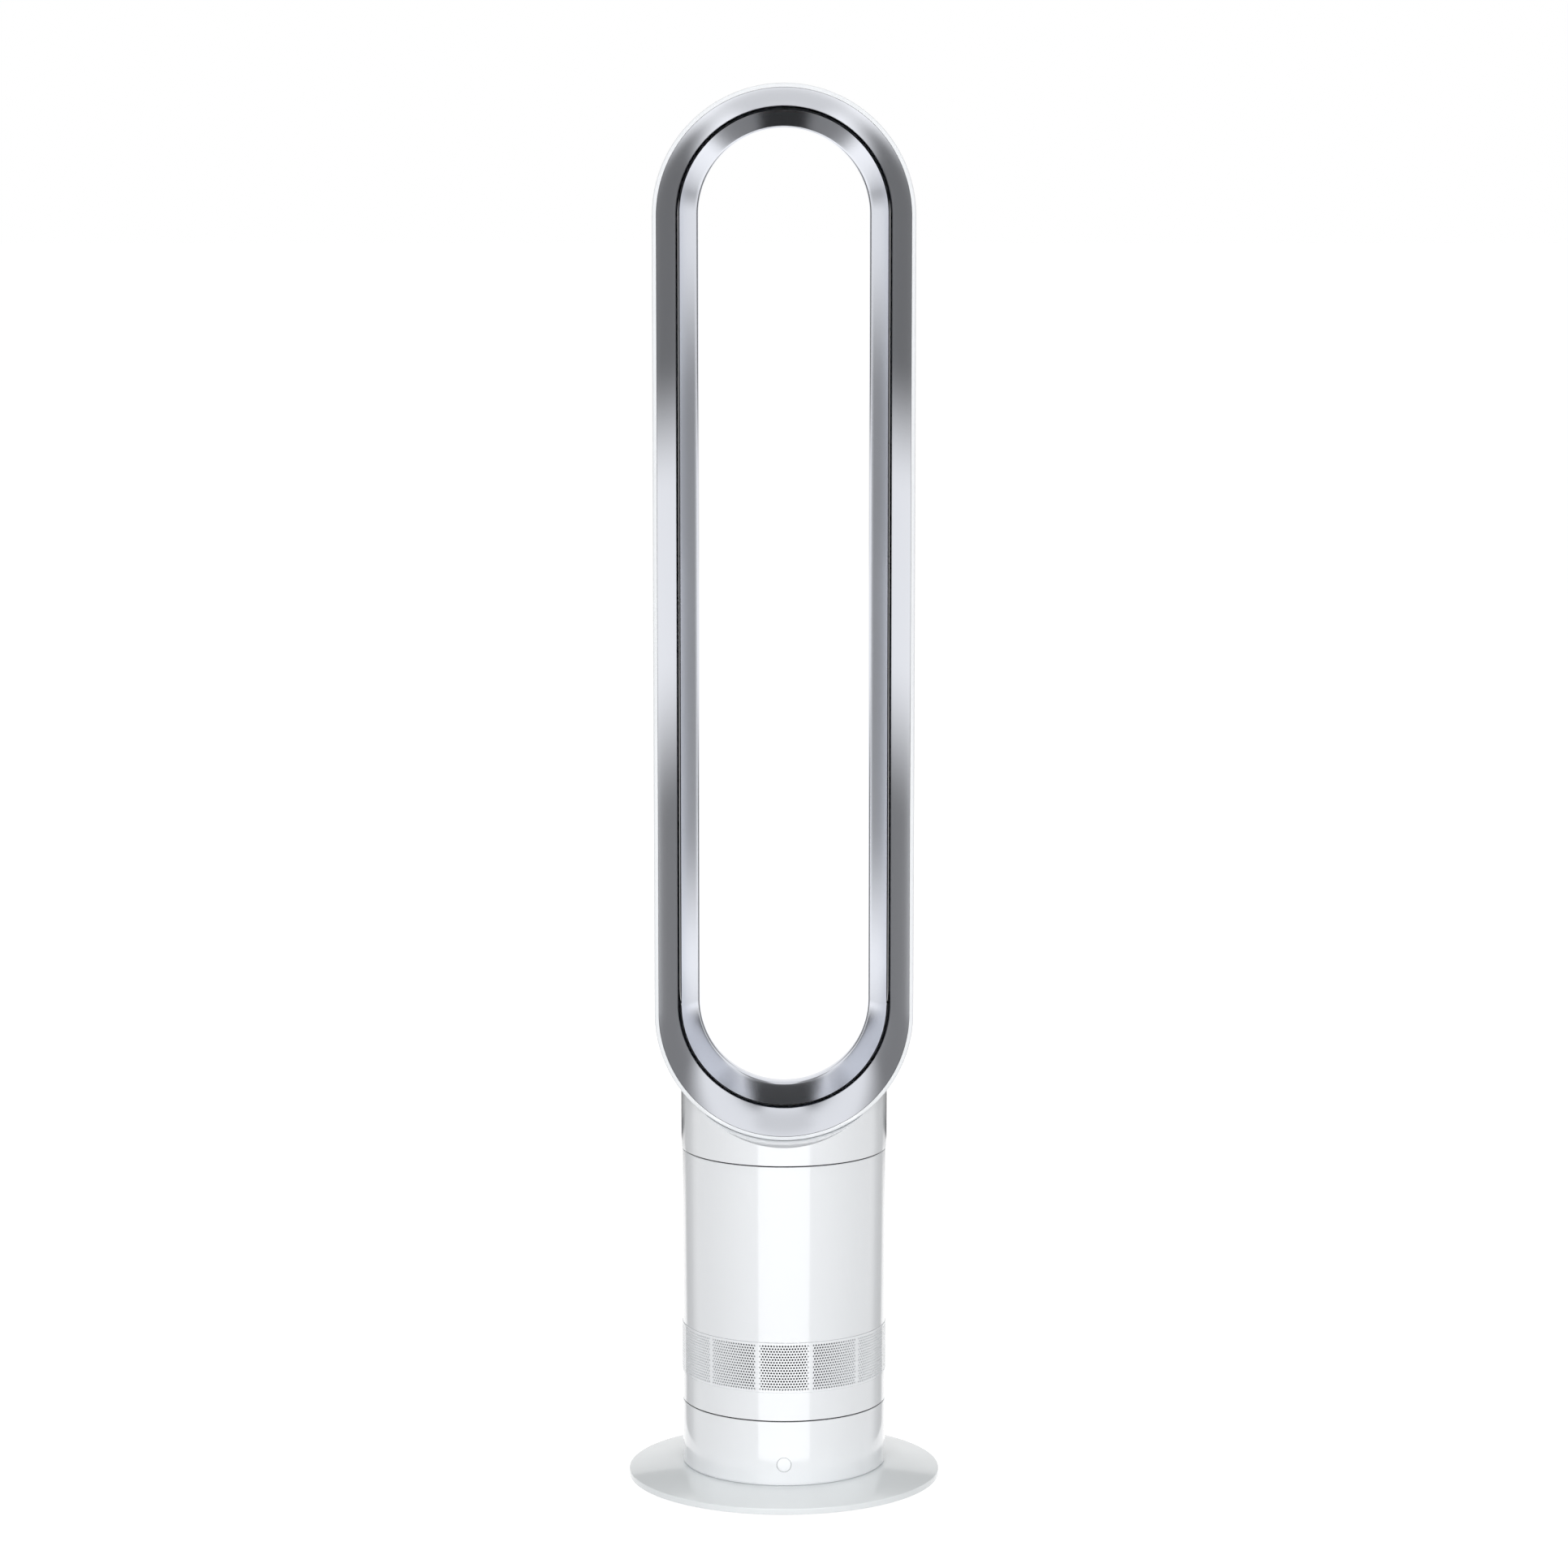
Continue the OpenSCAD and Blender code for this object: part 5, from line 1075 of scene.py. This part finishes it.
# ---------------------------------------------------------------- studio
@dataclass(frozen=True)
class Card:
    """A soft-edged flag that only reflections see, as a studio hangs round bright metal.

    Args:
        name: the card's name.
        place: its middle, in metres, facing the object along -Y.
        size: its width and height.
        level: its brightness, where 1 is white.
        soft: shares of its half width and half height over which the edges fade.
        turn: its turns about X, Y and Z in degrees, from standing and facing the front.
    """

    name: str
    place: Point
    size: Pair
    level: float
    soft: Pair = (0.5, 0.5)
    turn: Point = (0.0, 0.0, 0.0)

    def mask(self, bench: Bench) -> Wire:
        """How solid the card is, from 0 at its edge to 1."""
        place = bench.node("ShaderNodeTexCoord", output="Object")
        split = bench.node("ShaderNodeSeparateXYZ", {"Vector": place})
        out: Any = 1.0
        for axis, extent, soft in zip("XZ", self.size, self.soft):
            away = split.beside(axis).to("ABSOLUTE")
            out = bench.node("ShaderNodeMapRange", {"Value": 1.0 - away * (2 / extent), "From Max": soft},
                             interpolation_type="SMOOTHSTEP") * out
        return out

    def build(self) -> None:
        """Hangs the card."""
        x, z = (extent / 2 for extent in self.size)
        bm = bmesh.new()
        bm.faces.new([bm.verts.new((a, 0.0, b)) for a, b in box(-x, -z, x, z)])
        mesh = to_mesh(bm, self.name)
        mat, bench = new_material(self.name)
        mat.cycles.emission_sampling = "NONE"
        clear = bench.node("ShaderNodeBsdfTransparent")
        solid = bench.node("ShaderNodeEmission", {"Strength": self.level})
        shader = bench.node("ShaderNodeMixShader", {0: self.mask(bench), 1: clear, 2: solid})
        bench.node("ShaderNodeOutputMaterial", {"Surface": shader})
        mesh.materials.append(mat)
        card = add_object(self.name, mesh)
        card.location = self.place
        card.rotation_euler = [math.radians(a) for a in self.turn]
        for ray in ("camera", "diffuse", "transmission", "volume_scatter", "shadow"):
            setattr(card, f"visible_{ray}", False)


@dataclass(frozen=True)
class Lamp:
    """A soft rectangular lamp that neither the camera nor a reflection sees.

    Args:
        name: the lamp's name.
        place: where it stands, in metres.
        aim: the point it faces.
        size: its width and height.
        watts: its power.
    """

    name: str
    place: Point
    aim: Point
    size: Pair
    watts: float

    def build(self) -> None:
        """Sets the lamp up."""
        data = bpy.data.lights.new(self.name, "AREA")
        data.shape = "RECTANGLE"
        data.size, data.size_y = self.size
        data.energy = self.watts
        lamp = add_object(self.name, data)
        lamp.location = self.place
        lamp.rotation_euler = (Vector(self.aim) - Vector(self.place)).to_track_quat("-Z", "Y").to_euler()
        lamp.visible_camera = False
        lamp.visible_glossy = False


LEVEL = (-90.0, 0.0, 0.0)
SIDEWAYS = (0.0, 0.0, 90.0)
CARDS = (
    Card("strip", (0.0, -0.145, 0.151), (0.122, 0.30), 3.2, (0.06, 0.04)),
    Card("flag_low", (0.0, 0.39, 0.20), (1.8, 0.34), 0.01, (0.8, 0.25), LEVEL),
    Card("flag_top", (0.0, 0.30, 2.10), (1.9, 1.96), 0.02, (0.5, 0.12)),
    Card("flag_roof", (0.0, 0.15, 1.28), (0.60, 0.32), 0.02, (0.3, 0.1), LEVEL),
    Card("flag_body_left", (-0.16, 0.075, 0.135), (0.15, 0.30), 0.42, (0.7, 0.05), SIDEWAYS),
    Card("flag_body_right", (0.16, 0.075, 0.135), (0.15, 0.30), 0.42, (0.7, 0.05), SIDEWAYS),
    Card("flag_middle", (0.0, 0.306, 0.71), (0.28, 0.18), 0.78),
    *(Card(f"flag_{part}_{side}", (sign * x, 0.302, z), size, level, soft)
      for side, sign in (("left", -1), ("right", 1))
      for part, x, z, size, level, soft in (
          ("upper", 0.24, 0.91, (0.32, 0.44), 0.18, (0.5, 0.5)),
          ("lower", 0.27, 0.34, (0.34, 0.44), 0.24, (0.5, 0.6)),
          ("far", 1.77, 0.565, (2.46, 0.65), 0.03, (0.03, 0.43)))),
)


FOOT = (0.0, 0.0, 0.0)
MIDDLE = (0.0, 0.0, 0.5)
LAMPS = (
    Lamp("front_soft", (0.0, -4.2, 1.6), MIDDLE, (3.0, 2.4), 117.0),
    Lamp("rear_left", (-2.4, 2.2, 1.5), MIDDLE, (1.6, 2.0), 28.0),
    Lamp("rear_right", (2.4, 2.2, 1.5), MIDDLE, (1.6, 2.0), 28.0),
    Lamp("overhead", (0.0, 0.0, 2.6), FOOT, (2.0, 2.0), 15.0),
)


@dataclass
class Studio:
    """Floor, world, cards, lamps and the photograph's camera."""

    fill: float = 0.24
    eye: Point = (0.0, -3.554, 1.0105)
    pitch: float = 7.956
    lens: float = 113.67
    sensor: float = 36.0
    reach: float = 100.0
    floor_size: float = 30.0
    floor_grey: tuple[float, ...] = (0.8, 0.8, 0.81, 1.0)
    floor_shade: tuple[float, ...] = (0.45, 0.45, 0.45, 1.0)
    floor_glow: float = 0.90

    def camera(self) -> None:
        """Sets the camera at the photograph's place."""
        data = bpy.data.cameras.new("camera")
        data.lens = self.lens
        data.sensor_width = self.sensor
        data.clip_end = self.reach
        camera = add_object("camera", data)
        camera.location = self.eye
        camera.rotation_euler = (math.radians(90.0 - self.pitch), 0.0, 0.0)
        bpy.context.scene.camera = camera

    def world(self) -> None:
        """White for the camera and in reflections, plain fill for everything else."""
        world = bpy.data.worlds.new("studio")
        bpy.context.scene.world = world
        world.use_nodes = True
        bench = Bench(world.node_tree)
        level = self.fill + seen_directly(bench) * (1.0 - self.fill)
        back = bench.node("ShaderNodeBackground", {"Color": WHITE, "Strength": level})
        bench.node("ShaderNodeOutputWorld", {"Surface": back})

    def floor(self) -> None:
        """Pale floor that turns white for the camera and keeps the shadow."""
        bm = bmesh.new()
        bmesh.ops.create_grid(bm, x_segments=1, y_segments=1, size=self.floor_size)
        floor = add_object("floor", to_mesh(bm, "floor"))
        mat, bench = new_material("floor")
        seen = seen_directly(bench)
        plain = bench.node("ShaderNodeBsdfDiffuse", {"Color": self.floor_grey})
        shaded = bench.node("ShaderNodeBsdfDiffuse", {"Color": self.floor_shade})
        glow = bench.node("ShaderNodeEmission", {"Color": WHITE, "Strength": self.floor_glow})
        shown = bench.node("ShaderNodeAddShader", {0: shaded, 1: glow})
        mix = bench.node("ShaderNodeMixShader", {0: seen, 1: plain, 2: shown})
        bench.node("ShaderNodeOutputMaterial", {"Surface": mix})
        floor.data.materials.append(mat)

    def build(self) -> None:
        """Sets the whole studio up."""
        bpy.context.scene.view_settings.view_transform = "Standard"
        self.camera()
        self.world()
        self.floor()
        for part in (*CARDS, *LAMPS):
            part.build()


def main() -> None:
    """Builds every sub-assembly and reports it."""
    logging.basicConfig(level=logging.INFO, format="%(message)s")
    shop = Workshop({finish.slot: finish.material() for finish in FINISHES})
    shop.dress_frame()
    for part in (Base(), Tower(), Grille(), Loop()):
        part.build(shop)
        LOG.info("%s done", type(part).__name__)
    Studio().build()


if __name__ == "__main__":
    main()
